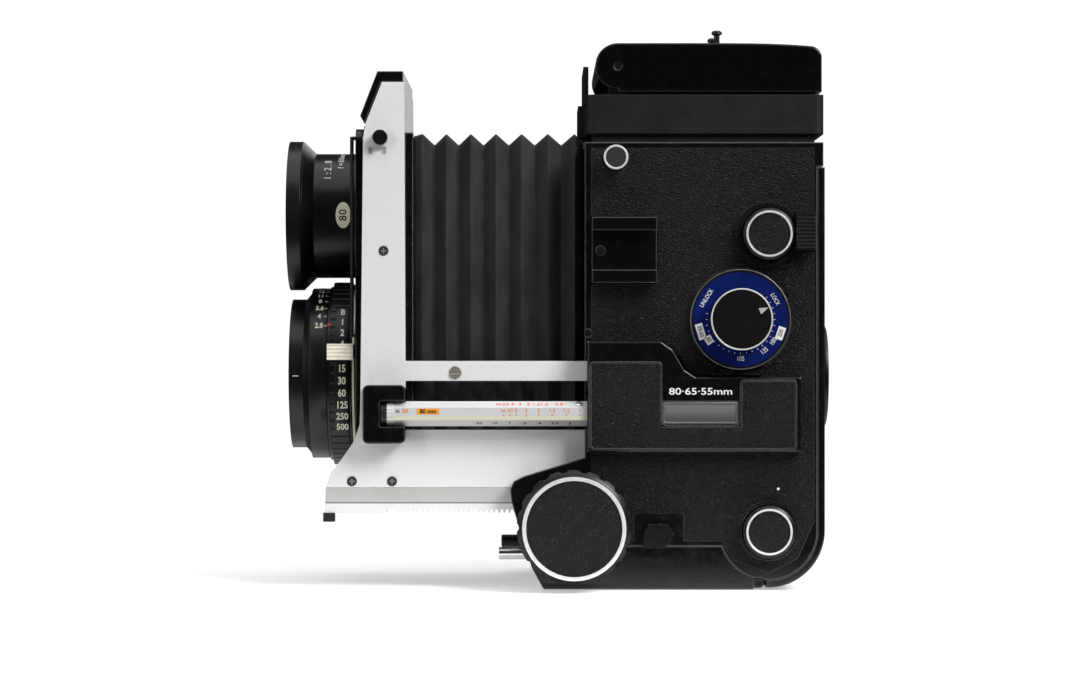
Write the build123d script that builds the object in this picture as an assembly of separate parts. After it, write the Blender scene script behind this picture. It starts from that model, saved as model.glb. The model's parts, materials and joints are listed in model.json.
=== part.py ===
"""Twin lens reflex camera with a racked lens carriage, a one-touch folding hood and a hinged back.

Millimetres. +Z is up, the lenses face -Y, +X is the user's left side.
The origin is the mouth of the tripod socket in the base.
"""
import math
import os

from build123d import *

# ---------------------------------------------------------------- driving dimensions

CORE = 40.0            # half width of the body casting
SIDE = 44.3            # outside of the side covers
BODY_FRONT = -19.8
BODY_REAR = 51.1
BODY_TOP = 136.6
BASE_TOP = 13.2
DOOR_OUTER = 53.5
DOOR_THICK = 2.2
DOOR_TOP = 129.0

LENS_GAP = 50.0        # distance between the two lens axes
TAKING_Z = 65.7
VIEWING_Z = TAKING_Z + LENS_GAP

SPOOL_Y = 36.2
UPPER_SPOOL_Z = 108.5
LOWER_SPOOL_Z = 17.9
SPOOL_ROOM = 13.6      # radius of a spool chamber
SPOOL_HALF = 32.0      # half length of a spool chamber

DIAL_Y = 27.6
DIAL_Z = 82.5

TRAVEL = 46.0          # focusing travel of the carriage
PLATE_IN = 37.0        # carriage side plates, inner and outer face
PLATE_OUT = 39.0
PANEL_FRONT = -90.4
CARRIAGE_REAR = -75.2
ARM_REAR = -13.0       # rear end of the side plates and of the arm on the left one
SKIRT_TOP = 48.7       # top of the low rear part of a side plate
THREAD_R = 22.6        # minor radius of the filter threads

MODULE = 0.5
PINION_TEETH = 17
PINION_R = MODULE * PINION_TEETH / 2
SHAFT_Y = -23.2
SHAFT_Z = 19.4
SHAFT_R = 3.0
PITCH = math.pi * MODULE
TOOTH = 0.4 * PITCH    # tooth thickness at the pitch line, leaving backlash
RACK_FRONT = -79.6
RACK_REAR = -15.0
RACK_IN = 35.2         # inner face of a rack

BAR_X = 43.0           # distance-scale bar
BAR_Z = 53.7
BAR_FLATS = 6.6

LID_Y = -9.5           # lid pivot
LID_Z = 160.5
LID_HALF = 37.0
LID_WALL = 1.5
STUD_X = (13.5, -13.5)
STUD_Y = 22.0
MAG_Y = 24.0           # magnifier pivot
MAG_Z = 161.0
MAG_LENS_Y = MAG_Y + 14.5
HOOD_FRONT = -19.4
HOOD_REAR = 53.8
HOOD_LOW = 139.6
HOOD_TOP = 151.7
FLAP_X = 31.6          # side flap hinges
FLAP_Z = 144.6
REAR_FLAP_Y = 44.6
REAR_FLAP_Z = 150.0
FLAP_THICK = 0.7
FLAP_WIDTH = 26.5
PIN_R = 0.5            # hinge pins of the flaps
KNUCKLE_R = 1.1
EAR_IN = 33.6          # ears of the hood that carry the lid
EAR_OUT = 35.1

HINGE_Y = 33.5         # back-door hinge
HINGE_Z = 1.9
DOOR_PIN_R = 0.8
KNUCKLES = ((30.3, 42.0), (-42.0, -30.3), (-9.7, 9.7))

BAIL_Y = -82.5         # lens bail pivot
BAIL_Z = 138.3

STRAP = (-10.4, 131.8)         # small fittings as (y, z) on the side covers
COUNTER = (2.0, 118.0)
LOCK = (2.0, 16.6)
SHOE_SCREW = (-15.1, 103.5)
ARM_SCREW = (-59.5, 66.3)
COVER_SCREWS = ((-30.5, 27.8), (-18.9, 78.4))
PLATE_SCREWS = ((-81.5, 103.6), (-91.2, 32.9), (-78.9, 32.9))
CABLE_X = 30.0                 # release fittings in the front of the base
BUTTON_X = -38.0
RELEASE_Z = 10.3
FILM_DIAL_Z = 65.0
ROLLER_Y = 46.4
ROLLER_Z = (33.8, 97.6)
CRANK_ARM = 21.0

RUN = 0.06             # radial clearance of a running fit

# side outlines as (y, z) points
CHIN = ((BODY_FRONT, 40.3), (-38.4, 34.6), (-41.6, 33.0), (-42.6, 30.5), (-42.2, 27.0),
        (-40.0, 19.0), (-38.2, BASE_TOP + 0.1))
LEATHER = ((-17.6, 134.6), (50.0, 134.6), (50.0, 21.0), (45.0, 9.6), (36.0, 5.2), (25.2, 9.4),
           (22.2, 15.0), (-17.6, 15.0))
SIDE_PLATE = ((-75.2, 155.4), (-82.0, 155.4), (-87.1, 142.6), (-87.8, 138.0), (-88.6, 60.0),
              (-88.8, 50.4), (-90.4, 45.4), (-94.4, 39.6), (-97.6, 35.6), (-99.1, 31.0), (-74.6, 31.0))

# ---------------------------------------------------------------- shape helpers


def block(x0, x1, y0, y1, z0, z1):
    """Box between two corners."""
    return Pos((x0 + x1) / 2, (y0 + y1) / 2, (z0 + z1) / 2) * Box(x1 - x0, y1 - y0, z1 - z0)


def rod_x(y, z, r, x0, x1):
    """Cylinder along X."""
    return Pos((x0 + x1) / 2, y, z) * Rot(0, 90, 0) * Cylinder(r, x1 - x0)


def rod_y(x, z, r, y0, y1):
    """Cylinder along Y."""
    return Pos(x, (y0 + y1) / 2, z) * Rot(90, 0, 0) * Cylinder(r, y1 - y0)


def rod_z(x, y, r, z0, z1):
    """Cylinder along Z."""
    return Pos(x, y, (z0 + z1) / 2) * Cylinder(r, z1 - z0)


def prism(points, x0, x1):
    """Side outline of (y, z) points, extruded from x0 to x1."""
    outline = Polyline(*[(x0, y, z) for y, z in points], close=True)
    return extrude(make_face(outline), x1 - x0, dir=(1, 0, 0))


def turned_y(profile, x, z):
    """Outline of (radius, y) points turned about an axis along Y."""
    outline = Polyline(*[(x + r, y, z) for r, y in profile], close=True)
    return revolve(make_face(outline), Axis((x, 0, z), (0, 1, 0)), 360)


def turned_x(profile, y, z):
    """Outline of (radius, x) points turned about an axis along X."""
    outline = Polyline(*[(x, y + r, z) for r, x in profile], close=True)
    return revolve(make_face(outline), Axis((0, y, z), (1, 0, 0)), 360)


def turned_z(profile, x, y):
    """Outline of (radius, z) points turned about an axis along Z."""
    outline = Polyline(*[(x + r, y, z) for r, z in profile], close=True)
    return revolve(make_face(outline), Axis((x, y, 0), (0, 0, 1)), 360)


def mirrored(shape):
    """The same shape on the other side of the camera."""
    return mirror(shape, Plane.YZ)


def both(shape):
    """A shape and its mirror image on the other side."""
    return [shape, mirrored(shape)]


def soften(shape, radius, wanted):
    """Fillet the edges that the test picks."""
    edges = [edge for edge in shape.edges() if wanted(edge)]
    return fillet(edges, radius) if edges else shape


def long_edges(axis_name, limit=4.0):
    """Test for straight edges along one axis."""
    direction = {"X": Vector(1, 0, 0), "Y": Vector(0, 1, 0), "Z": Vector(0, 0, 1)}[axis_name]

    def test(edge):
        if edge.geom_type != GeomType.LINE or edge.length < limit:
            return False
        return abs(edge.tangent_at(0.5).dot(direction)) > 0.999
    return test


def save(name, *shapes):
    """Write one node: one solid, or a group of separate solids."""
    flat = []
    for shape in shapes:
        flat.extend(shape if isinstance(shape, (list, tuple)) else [shape])
    solids = [solid for shape in flat for solid in shape.solids()]
    whole = solids[0] if len(solids) == 1 else Compound(children=solids)
    whole.label = name
    export_step(whole, f"parts/{name}.step")


# ---------------------------------------------------------------- body


def side_outline(x0, x1, with_chin):
    """Outline of the body seen from the side; the rear foot is round about the lower spool."""
    foot_r = BODY_REAR - SPOOL_Y
    points = [(BODY_FRONT, BODY_TOP), (DOOR_OUTER - 0.5, BODY_TOP), (DOOR_OUTER - 0.5, DOOR_TOP + 0.3),
              (BODY_REAR, DOOR_TOP + 0.3), (BODY_REAR, LOWER_SPOOL_Z), (SPOOL_Y, LOWER_SPOOL_Z),
              (SPOOL_Y - foot_r, BASE_TOP + 0.1)]
    if with_chin:
        points += list(reversed(CHIN))
    else:
        points += [(-38.2, BASE_TOP + 0.1), (-40.0, 21.6), (BODY_FRONT, 21.6)]
    foot = rod_x(SPOOL_Y, LOWER_SPOOL_Z, foot_r, x0, x1)
    hinge_room = rod_x(HINGE_Y, HINGE_Z, 1.8, x0, x1)
    return prism(points, x0, x1) + foot - hinge_room


def make_body_casting():
    body = side_outline(-CORE, CORE, False)
    rear = BODY_REAR + 3
    for z in (LOWER_SPOOL_Z, UPPER_SPOOL_Z):
        body -= rod_x(SPOOL_Y, z, SPOOL_ROOM, -SPOOL_HALF, SPOOL_HALF)
    body -= block(-SPOOL_HALF, SPOOL_HALF, SPOOL_Y, rear, 0, 30.5)
    body -= block(-SPOOL_HALF, SPOOL_HALF, SPOOL_Y, rear, 98.5, UPPER_SPOOL_Z + SPOOL_ROOM)
    # recess behind the film gate for the pressure plate
    body -= block(-33, 33, 49.0, rear, 25.0, 103.0)
    # taking chamber, from the front opening to the 56 mm film gate
    body -= prism([(-25, 43), (-25, 84), (-12, 84), (49.5, 93.4), (49.5, 38.0), (-12, 43)], -28.5, 28.5)
    # viewing chamber over the mirror
    body -= prism([(-25, 88), (-10.6, 88), (36.5, 135.1), (36.5, 140), (-13, 140), (-13, 134), (-25, 134)],
                  -28.5, 28.5)
    # film rollers at the ends of the gate
    for z in ROLLER_Z:
        body -= rod_x(ROLLER_Y, z, 2.9, -31.5, 31.5)
        body -= block(-31.5, 31.5, ROLLER_Y, rear, z - 2.9, z + 2.9)
    # slots for the two racks and room for the pinions
    for x0, x1 in ((34.3, CORE + 1), (-CORE - 1, -34.3)):
        body -= block(x0, x1, -45, RACK_REAR + TRAVEL + 3.0, 22.4, 31.7)
        body -= rod_x(SHAFT_Y, SHAFT_Z, 5.3, x0, x1)
    # slots for the low rear parts of the side plates, and the channel of the arm and the scale bar
    for x0, x1 in ((36.3, CORE + 1), (-CORE - 1, -36.3)):
        body -= block(x0, x1, -25, ARM_REAR + TRAVEL + 1.5, 31.0, SKIRT_TOP + 0.6)
    body -= arm_channel(36.3, CORE + 1)
    # bearings
    body -= rod_x(SHAFT_Y, SHAFT_Z, SHAFT_R + RUN, -50, 50)
    for z in (LOWER_SPOOL_Z, UPPER_SPOOL_Z):
        body -= rod_x(SPOOL_Y, z, SHAFT_R + RUN, -50, 50)
    body -= rod_x(DIAL_Y, DIAL_Z, 2.0 + RUN, 30, 50)
    save("body_casting", body)


def arm_channel(x0, x1):
    """Room for the carriage arm and the scale bar as they slide into the body."""
    return block(x0, x1, -25, ARM_REAR + TRAVEL + 1.5, 48.6, 71.6)


def leather_outline(x0, x1):
    """Leather panel of one side before anything is cut out of it."""
    return prism(LEATHER, x0, x1)


def left_fittings_room(x0, x1):
    """Room that the left fittings take out of the leather."""
    room = rod_x(SPOOL_Y, UPPER_SPOOL_Z, 10.2, x0, x1)
    room += rod_x(SPOOL_Y, LOWER_SPOOL_Z, 9.2, x0, x1)
    room += rod_x(DIAL_Y, DIAL_Z, 15.9, x0, x1)
    room += rod_x(*STRAP, 4.4, x0, x1)
    room += rod_x(SHAFT_Y, SHAFT_Z, 10.6, x0, x1)
    room += block(x0, x1, -18.4, 2.8, 92.9, 114.3)
    room += block(x0, x1, 40.0, 51.0, 102.8, 115.6)
    room += block(x0, x1, -5.0, 10.5, 10.0, 23.5)
    room += housing_outline(x0, x1, 0.5)
    return room


def make_left_leather():
    save("left_leather", leather_outline(SIDE - 0.5, SIDE + 0.2) - left_fittings_room(SIDE - 2, SIDE + 2))


def right_fittings_room(x0, x1):
    """Room that the right fittings take out of the leather."""
    room = rod_x(SPOOL_Y, UPPER_SPOOL_Z, 14.6, x0, x1)
    room += rod_x(SPOOL_Y, LOWER_SPOOL_Z, 4.0, x0, x1)
    room += rod_x(*STRAP, 4.4, x0, x1)
    room += rod_x(SHAFT_Y, SHAFT_Z, 10.6, x0, x1)
    room += rod_x(*COUNTER, 7.0, x0, x1)
    return room


def make_right_leather():
    x0, x1 = -SIDE - 0.2, -SIDE + 0.5
    save("right_leather", leather_outline(x0, x1) - right_fittings_room(x0 - 2, x1 + 2))


def make_covers():
    left = side_outline(CORE, SIDE, True)
    left -= leather_outline(SIDE - 0.5, SIDE + 1) - left_fittings_room(SIDE - 1, SIDE + 2)
    left -= arm_channel(CORE - 1, SIDE + 1)
    left -= rod_x(SHAFT_Y, SHAFT_Z, SHAFT_R + RUN, 35, 50)
    for z in (LOWER_SPOOL_Z, UPPER_SPOOL_Z):
        left -= rod_x(SPOOL_Y, z, SHAFT_R + RUN, 35, 50)
        left -= rod_x(SPOOL_Y, z, 8.2, SIDE - 2.0, SIDE + 1)
    left -= rod_x(DIAL_Y, DIAL_Z, 2.0 + RUN, 30, 50)
    left -= rod_x(*LOCK, 1.2 + RUN, SIDE - 2.1, SIDE + 1)
    save("left_cover", cut_screw_seats(left, 1))

    right = side_outline(-SIDE, -CORE, True)
    right -= leather_outline(-SIDE - 1, -SIDE + 0.5) - right_fittings_room(-SIDE - 2, -SIDE + 1)
    right -= rod_x(SHAFT_Y, SHAFT_Z, SHAFT_R + RUN, -50, -35)
    right -= rod_x(SPOOL_Y, UPPER_SPOOL_Z, SHAFT_R + RUN, -50, -35)
    right -= rod_x(*COUNTER, 5.0, -50, -SIDE + 1.5)
    save("right_cover", cut_screw_seats(right, -1))


def make_base_plate():
    outline = [(-38.0, BASE_TOP), (-36.0, 6.6), (-32.3, 0), (31.7, 0), (31.7, 8), (24, BASE_TOP)]
    base = prism(outline, -SIDE, SIDE)
    base -= rod_x(SPOOL_Y, LOWER_SPOOL_Z, BODY_REAR - SPOOL_Y + 0.1, -50, 50)
    base = soften(base, 2.0, lambda e: long_edges("Y", 30)(e) and e.center().Z < 1)
    for x0, x1 in KNUCKLES:
        base += rod_x(HINGE_Y, HINGE_Z, 1.5, x0, x1) + block(x0, x1, 31.0, HINGE_Y, 0.4, 3.1)
    base -= rod_x(HINGE_Y, HINGE_Z, DOOR_PIN_R, -43, 43)
    base -= rod_z(0, 0, 5.0, -1, 9.0)
    for x, end_y in ((CABLE_X, -29.0), (BUTTON_X, -26.0)):
        base -= rod_y(x, RELEASE_Z, 2.2, -50, end_y)
    save("base_plate", base)


def make_tripod_bush():
    """Quarter-inch tripod bush."""
    save("tripod_bush", rod_z(0, 0, 5.0, 0, 9.0) - rod_z(0, 0, 2.56, -1, 7.0))


def make_shoe():
    """Accessory shoe with two lips, on the left cover."""
    low, high = 93.6, 113.6
    y0, y1 = -17.7, 2.1
    shoe = block(SIDE, 45.5, y0, y1, low, high)
    shoe += block(SIDE, 49.2, y0, y1, low, low + 0.8)
    shoe += block(SIDE, 49.2, y0, y1, high - 0.8, high)
    shoe += block(47.9, 49.2, y0, y1, low, low + 4)
    shoe += block(47.9, 49.2, y0, y1, high - 4, high)
    shoe -= rod_x(*SHOE_SCREW, 1.45, 44, 46)
    save("accessory_shoe", shoe)


def make_strap_lugs():
    profile = [(0, SIDE), (2.2, SIDE), (2.2, 46.4), (3.8, 47.4), (3.8, 48.6), (3.2, 49.4), (0, 49.4)]
    save("strap_lugs", both(turned_x(profile, *STRAP)))


def housing_outline(x0, x1, grow=0.0):
    """Distance-scale housing: its top drops in an S curve behind the front third."""
    g = grow
    points = [(-19.2 - g, 42.0 - g), (46.1 + g, 42.0 - g), (46.1 + g, 65.0 + g), (14.0, 65.0 + g),
              (10.6 + g, 67.2 + g), (7.0 + g, 73.4 + g), (3.4 + g, 75.9 + g), (-19.2 - g, 75.9 + g)]
    return prism(points, x0, x1)


def make_scale_housing():
    housing = housing_outline(SIDE, 48.0)
    housing = soften(housing, 0.8, lambda e: e.center().X > 47.9)
    housing -= block(SIDE - 1, 47.05, -25, ARM_REAR + TRAVEL + 1.5, 49.6, 57.8)
    housing -= block(46, 49, 4.6, 26.0, 51.6, 56.8)
    housing -= block(47.1, 49, 3.9, 26.7, 50.9, 57.5)
    save("scale_housing", housing)
    save("scale_window", block(47.1, 47.6, 4.0, 26.6, 51.0, 57.4))


def make_dial_plate():
    plate = rod_x(DIAL_Y, DIAL_Z, 15.3, SIDE, 46.0)
    plate = soften(plate, 0.5, lambda e: e.center().X > 45.9)
    save("dial_plate", plate - rod_x(DIAL_Y, DIAL_Z, 2.0 + RUN, 40, 50))


def make_selector_knob():
    knob = turned_x([(0, 46.2), (9.4, 46.2), (9.4, 52.6), (8.9, 54.0), (0, 54.0)], DIAL_Y, DIAL_Z)
    for i in range(36):
        angle = math.radians(10 * i)
        knob -= rod_x(DIAL_Y + 9.7 * math.cos(angle), DIAL_Z + 9.7 * math.sin(angle), 0.55, 47.2, 52.4)
    knob += rod_x(DIAL_Y, DIAL_Z, 2.0, 38.5, 47)
    save("selector_knob", knob)


def make_screen_and_mirror():
    save("focusing_screen", block(-30.0, 30.0, -14.6, 37.6, BODY_TOP + 0.1, BODY_TOP + 1.5))
    # surface-silvered mirror lying on the sloping wall of the viewing chamber
    glass = prism([(-10.3, 88.4), (35.6, 134.3), (34.6, 135.3), (-11.3, 89.4)], -28.0, 28.0)
    save("reflex_mirror", glass)


def make_film_rollers():
    save("film_rollers", [rod_x(ROLLER_Y, z, 2.6, -31.0, 31.0) for z in ROLLER_Z])


def make_bellows():
    """Folded bellows in two chambers, one for each lens."""
    front, rear = -72.5, BODY_FRONT - 0.1
    folds = 7
    step = (rear - front) / folds
    wall = 0.8

    def stack(inset, low, high, y_a, y_b):
        sections = []
        for i in range(2 * folds + 1):
            y = front + step * i / 2
            y = min(max(y, y_a), y_b)
            depth = inset + (0.0 if i % 2 else 3.1)
            outline = Rectangle(2 * (33.0 - depth), high - low - 2 * depth)
            sections.append(Plane((0, y, (low + high) / 2), x_dir=(1, 0, 0), z_dir=(0, 1, 0)) * outline)
        return loft(sections, ruled=True)

    body = stack(0.0, 41.0, 140.0, front, rear)
    body -= stack(wall, 41.0, 140.0, front, rear)
    body += block(-30.3, 30.3, front, rear, 85.5, 86.5)
    body -= block(-40, 40, front - 5, front, 0, 160)
    save("bellows", body)


def make_release_fittings():
    socket = rod_y(CABLE_X, RELEASE_Z, 1.9, -46.2, -34.0) + rod_y(CABLE_X, RELEASE_Z, 2.2, -34.0, -29.0)
    save("cable_release_socket", socket - rod_y(CABLE_X, RELEASE_Z, 1.35, -50, -40.0))
    button = rod_y(BUTTON_X, RELEASE_Z, 2.1, -46.2, -31.0)
    button = soften(button, 0.5, lambda e: e.center().Y < -46)
    save("release_button", button)


def make_counter_window():
    save("counter_window", rod_x(*COUNTER, 4.95, -SIDE - 0.6, -SIDE + 1.5))


def make_body_screws():
    screws = [rod_x(*SHOE_SCREW, 1.4, 45.5, 46.0)]
    for y, z in COVER_SCREWS:
        screws += both(rod_x(y, z, 1.2, SIDE - 0.6, SIDE + 0.1))
    save("body_screws", screws)


def cut_screw_seats(shape, sign):
    """Countersinks for the cover screws."""
    x0, x1 = sorted((sign * (SIDE - 0.65), sign * (SIDE + 2)))
    for y, z in COVER_SCREWS:
        shape -= rod_x(y, z, 1.25, x0, x1)
    return shape


# ---------------------------------------------------------------- hood


def make_hood_base():
    hood = block(-35.5, 35.5, -17.5, 51.0, BODY_TOP, HOOD_LOW)
    hood += block(-LID_HALF, LID_HALF, HOOD_FRONT, HOOD_REAR, HOOD_LOW, HOOD_TOP)
    hood = soften(hood, 2.5, lambda e: long_edges("Z", 10)(e))
    hood -= block(-33.4, 33.4, -13.5, 48.0, 141.6, HOOD_TOP + 1)
    hood -= block(-30.1, 30.1, -14.7, 37.7, BODY_TOP - 1, BODY_TOP + 1.6)
    hood -= block(-28.5, 28.5, -13.0, 36.5, BODY_TOP, 142)
    # plate in front of the lid, and the latch strip under it
    hood += block(-22.0, 22.0, -20.0, -18.4, HOOD_TOP - 2, 161.4)
    hood += block(-16.0, 16.0, -21.6, HOOD_FRONT + 0.1, 139.6, 149.6)
    # ears that carry the lid
    for x0, x1 in ((EAR_IN, EAR_OUT), (-EAR_OUT, -EAR_IN)):
        hood += block(x0, x1, -12.6, -6.4, HOOD_TOP - 3, LID_Z) + rod_x(LID_Y, LID_Z, 3.1, x0, x1)
    hood -= rod_x(LID_Y, LID_Z, 1.0, -40, 40)
    # seats for the flap hinge pins
    for x in (FLAP_X, -FLAP_X):
        hood -= rod_y(x, FLAP_Z, PIN_R, -16, 50)
    hood -= rod_x(REAR_FLAP_Y, REAR_FLAP_Z, PIN_R, -35, 35)
    save("hood_base", hood)


def make_hinge_pins():
    pins = both(rod_y(FLAP_X, FLAP_Z, PIN_R, -15.5, 49.5))
    pins += both(rod_x(LID_Y, LID_Z, 1.0, EAR_IN, LID_HALF - 0.2))
    pins.append(rod_x(REAR_FLAP_Y, REAR_FLAP_Z, PIN_R, -34.8, 34.8))
    pins.append(rod_x(HINGE_Y, HINGE_Z, DOOR_PIN_R, -41.5, 41.5))
    save("hinge_pins", pins)


def lid_outline(x0, x1, inset):
    """Side outline of the lid: crowned top, round nose about the pivot."""
    i = inset
    nose = 7.0 - i
    crown = Spline((x0, LID_Y, LID_Z + nose), (x0, 22.0, 167.5 - i), (x0, 49.5 - i, 166.6 - i),
                   tangents=((0, 1, 0), (0, 1, -0.09)))
    corner = ThreePointArc((x0, 49.5 - i, 166.6 - i), (x0, 52.1 - i, 165.5 - i), (x0, 53.1 - i, 163.2 - i))
    rear = Line((x0, 53.1 - i, 163.2 - i), (x0, 53.1 - i, 152.6 - i))
    low = Line((x0, 53.1 - i, 152.6 - i), (x0, LID_Y, 152.6 - i))
    step = Line((x0, LID_Y, 152.6 - i), (x0, LID_Y, LID_Z - nose))
    front = ThreePointArc((x0, LID_Y, LID_Z - nose), (x0, LID_Y - nose, LID_Z), (x0, LID_Y, LID_Z + nose))
    face = make_face(Wire([crown.edge(), corner.edge(), rear.edge(), low.edge(), step.edge(), front.edge()]))
    return extrude(face, x1 - x0, dir=(1, 0, 0))


def make_hood_lid():
    lid = lid_outline(-LID_HALF, LID_HALF, 0.0)
    lid -= lid_outline(-LID_HALF + LID_WALL, LID_HALF - LID_WALL, LID_WALL)
    # the nose is open below, where the hood's front wall stands
    lid -= block(-LID_HALF + LID_WALL, LID_HALF - LID_WALL, -20, LID_Y + 0.5, 152, 158.5)
    # slots in the nose that clear the ears as the lid swings up
    for x0, x1 in ((EAR_IN - 0.4, LID_HALF - LID_WALL), (LID_WALL - LID_HALF, 0.4 - EAR_IN)):
        lid -= block(x0, x1, -20, LID_Y, 152, LID_Z + 4.2)
    lid -= rod_x(LID_Y, LID_Z, 1.0 + RUN, -50, 50)
    for x in STUD_X:
        lid -= rod_z(x, STUD_Y, 0.95, 160, 170)
    # bracket and pin that carry the magnifier
    lid += rod_x(MAG_Y, MAG_Z, 0.6, -14.2, 14.2)
    for x0, x1 in ((12.4, 14.2), (-14.2, -12.4)):
        lid += block(x0, x1, MAG_Y - 1.4, MAG_Y + 1.4, MAG_Z - 1.2, 166.2)
    save("hood_lid", lid)


def make_lid_studs():
    profile = [(0, 166.3), (0.9, 166.3), (0.9, 171.8), (1.7, 172.3), (1.6, 173.0), (1.0, 173.4), (0, 173.4)]
    save("lid_studs", [turned_z(profile, x, STUD_Y) for x in STUD_X])


def make_flaps():
    """Side flaps fold inwards over the screen, the rear flap forwards over them."""
    # the rear corner is cut off so that the flap clears the rear one as both open
    points = [(-5.0, 0), (41.5, 0), (41.5, 8.5), (29.0, FLAP_WIDTH), (-1.0, FLAP_WIDTH)]
    outline = Polyline(*[(FLAP_X - w, y, FLAP_Z - FLAP_THICK / 2) for y, w in points], close=True)
    left = extrude(make_face(outline), FLAP_THICK, dir=(0, 0, 1))
    left += rod_y(FLAP_X, FLAP_Z, KNUCKLE_R, -5.0, 41.5)
    left -= rod_y(FLAP_X, FLAP_Z, PIN_R + RUN, -20, 60)
    save("left_flap", left)
    save("right_flap", mirrored(left))

    depth = 27.0
    points = [(-30.0, 0), (30.0, 0), (24.5, depth), (-24.5, depth)]
    outline = Polyline(*[(x, REAR_FLAP_Y - d, REAR_FLAP_Z - FLAP_THICK / 2) for x, d in points], close=True)
    rear = extrude(make_face(outline), FLAP_THICK, dir=(0, 0, 1))
    rear += rod_x(REAR_FLAP_Y, REAR_FLAP_Z, KNUCKLE_R, -30.0, 30.0)
    rear -= rod_x(REAR_FLAP_Y, REAR_FLAP_Z, PIN_R + RUN, -40, 40)
    save("rear_flap", rear)


def make_magnifier():
    """Magnifier on an arm that hangs from the lid."""
    ring = turned_z([(11.0, 159.6), (12.4, 159.6), (12.4, 162.4), (11.0, 162.4)], 0, MAG_LENS_Y)
    arm = block(-5, 5, MAG_Y, MAG_LENS_Y - 11.4, 160.6, 161.6) + ring
    arm += rod_x(MAG_Y, MAG_Z, 1.4, -12.0, 12.0)
    arm -= rod_x(MAG_Y, MAG_Z, 0.6 + RUN, -20, 20)
    save("magnifier_arm", arm)
    profile = [(0, 160.0), (6, 160.1), (10.9, 160.7), (10.9, 161.3), (6, 162.2), (0, 162.6)]
    save("magnifier_lens", turned_z(profile, 0, MAG_LENS_Y))


# ---------------------------------------------------------------- front carriage


def make_side_plates():
    left = prism(SIDE_PLATE, PLATE_IN, PLATE_OUT)
    left += block(PLATE_IN, PLATE_OUT, -76, ARM_REAR, 31.0, SKIRT_TOP)
    right = mirrored(left)
    left += block(PLATE_IN, PLATE_OUT, -76, ARM_REAR, 63.7, 69.8)
    left -= rod_x(*ARM_SCREW, 1.9, PLATE_OUT - 0.7, PLATE_OUT + 1)
    plates = []
    for plate, sign in ((left, 1), (right, -1)):
        plate -= rod_x(BAIL_Y, BAIL_Z, 1.0 + RUN, -50, 50)
        x0, x1 = sorted((sign * (PLATE_OUT - 1.2), sign * (PLATE_OUT + 1)))
        plate -= block(x0, x1, -86.1, -80.7, 133.2, 135.5)
        for y, z in PLATE_SCREWS:
            plate -= rod_x(y, z, 1.5, *sorted((sign * (PLATE_OUT - 0.6), sign * (PLATE_OUT + 1))))
        plates.append(plate)
    save("left_side_plate", plates[0])
    save("right_side_plate", plates[1])


def make_carriage_screws():
    screws = []
    for y, z in PLATE_SCREWS:
        screws += both(rod_x(y, z, 1.45, PLATE_OUT - 0.6, PLATE_OUT + 0.15))
    slotted = rod_x(*ARM_SCREW, 1.85, PLATE_OUT - 0.7, PLATE_OUT + 0.4)
    slotted -= block(PLATE_OUT + 0.1, PLATE_OUT + 1, -62, -57, 65.9, 66.7)
    save("carriage_screws", screws, slotted)


def make_standard_frame():
    """Black standard between the silver side plates, with the front frame of the bellows."""
    inner = PLATE_IN - 0.05
    frame = block(-inner, inner, -87.6, CARRIAGE_REAR, 49.0, 142.0)
    brow = [(CARRIAGE_REAR, 142.0), (-86.6, 142.0), (-81.8, 155.2), (CARRIAGE_REAR, 155.2)]
    frame += prism(brow, -inner, inner)
    frame += block(-inner, inner, -86.5, -76.0, 31.0, 49.0)
    frame += block(-34.0, 34.0, CARRIAGE_REAR, -72.6, 40.9, 140.2)
    frame -= block(-31.0, 31.0, -85.0, -70, 44.0, 137.0)
    frame -= prism([(-80.0, 145.0), (-77.0, 145.0), (-77.0, 153.0), (-80.5, 153.0)], -33, 33)
    for z in (TAKING_Z, VIEWING_Z):
        frame -= rod_y(0, z, 17.5, -90, -80)
    frame -= rod_x(BAIL_Y, BAIL_Z, 1.35, -50, 50)
    # swing room for the arms of the lens bail
    for x0, x1 in ((34.2, 36.2), (-36.2, -34.2)):
        frame -= block(x0, x1, -90, -80.9, 134.0, 139.8)
        frame -= rod_x(BAIL_Y, BAIL_Z, 7.0, x0, x1)
        frame -= prism([(-82.5, 138.3), (-92.0, 138.3), (-92.0, 142.6), (-88.0, 142.0)], x0, x1)
    save("standard_frame", frame)


def make_name_cap():
    outline = [(-75.5, 155.5), (-75.5, 158.7), (-83.4, 158.7), (-88.7, 145.0), (-87.4, 142.7),
               (-82.3, 155.5)]
    save("name_cap", prism(outline, -PLATE_OUT, PLATE_OUT))


def make_racks():
    """Rail and rack of each side; every tooth is a trapezium below the rail."""
    half_pitch = PITCH / 2
    root_z = SHAFT_Z + PINION_R + 0.62
    tip_z = SHAFT_Z + PINION_R - 0.48
    points = [(-99.2, 30.9), (RACK_REAR, 30.9), (RACK_REAR, root_z)]
    first = math.ceil((RACK_FRONT - SHAFT_Y) / PITCH)
    last = math.floor((RACK_REAR - SHAFT_Y) / PITCH) - 1
    for k in range(last, first - 1, -1):
        y = SHAFT_Y + k * PITCH + half_pitch
        points += [(y + TOOTH / 2 + 0.2, root_z), (y + TOOTH / 2 - 0.16, tip_z),
                   (y - TOOTH / 2 + 0.16, tip_z), (y - TOOTH / 2 - 0.2, root_z)]
    points += [(RACK_FRONT - 0.8, root_z), (RACK_FRONT - 0.8, tip_z), (-99.5, tip_z)]
    rack = prism(points, RACK_IN, PLATE_OUT)
    rack += block(RACK_IN, PLATE_OUT + 0.6, -100.0, -96.5, 20.5, tip_z)
    save("racks", both(rack))


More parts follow.
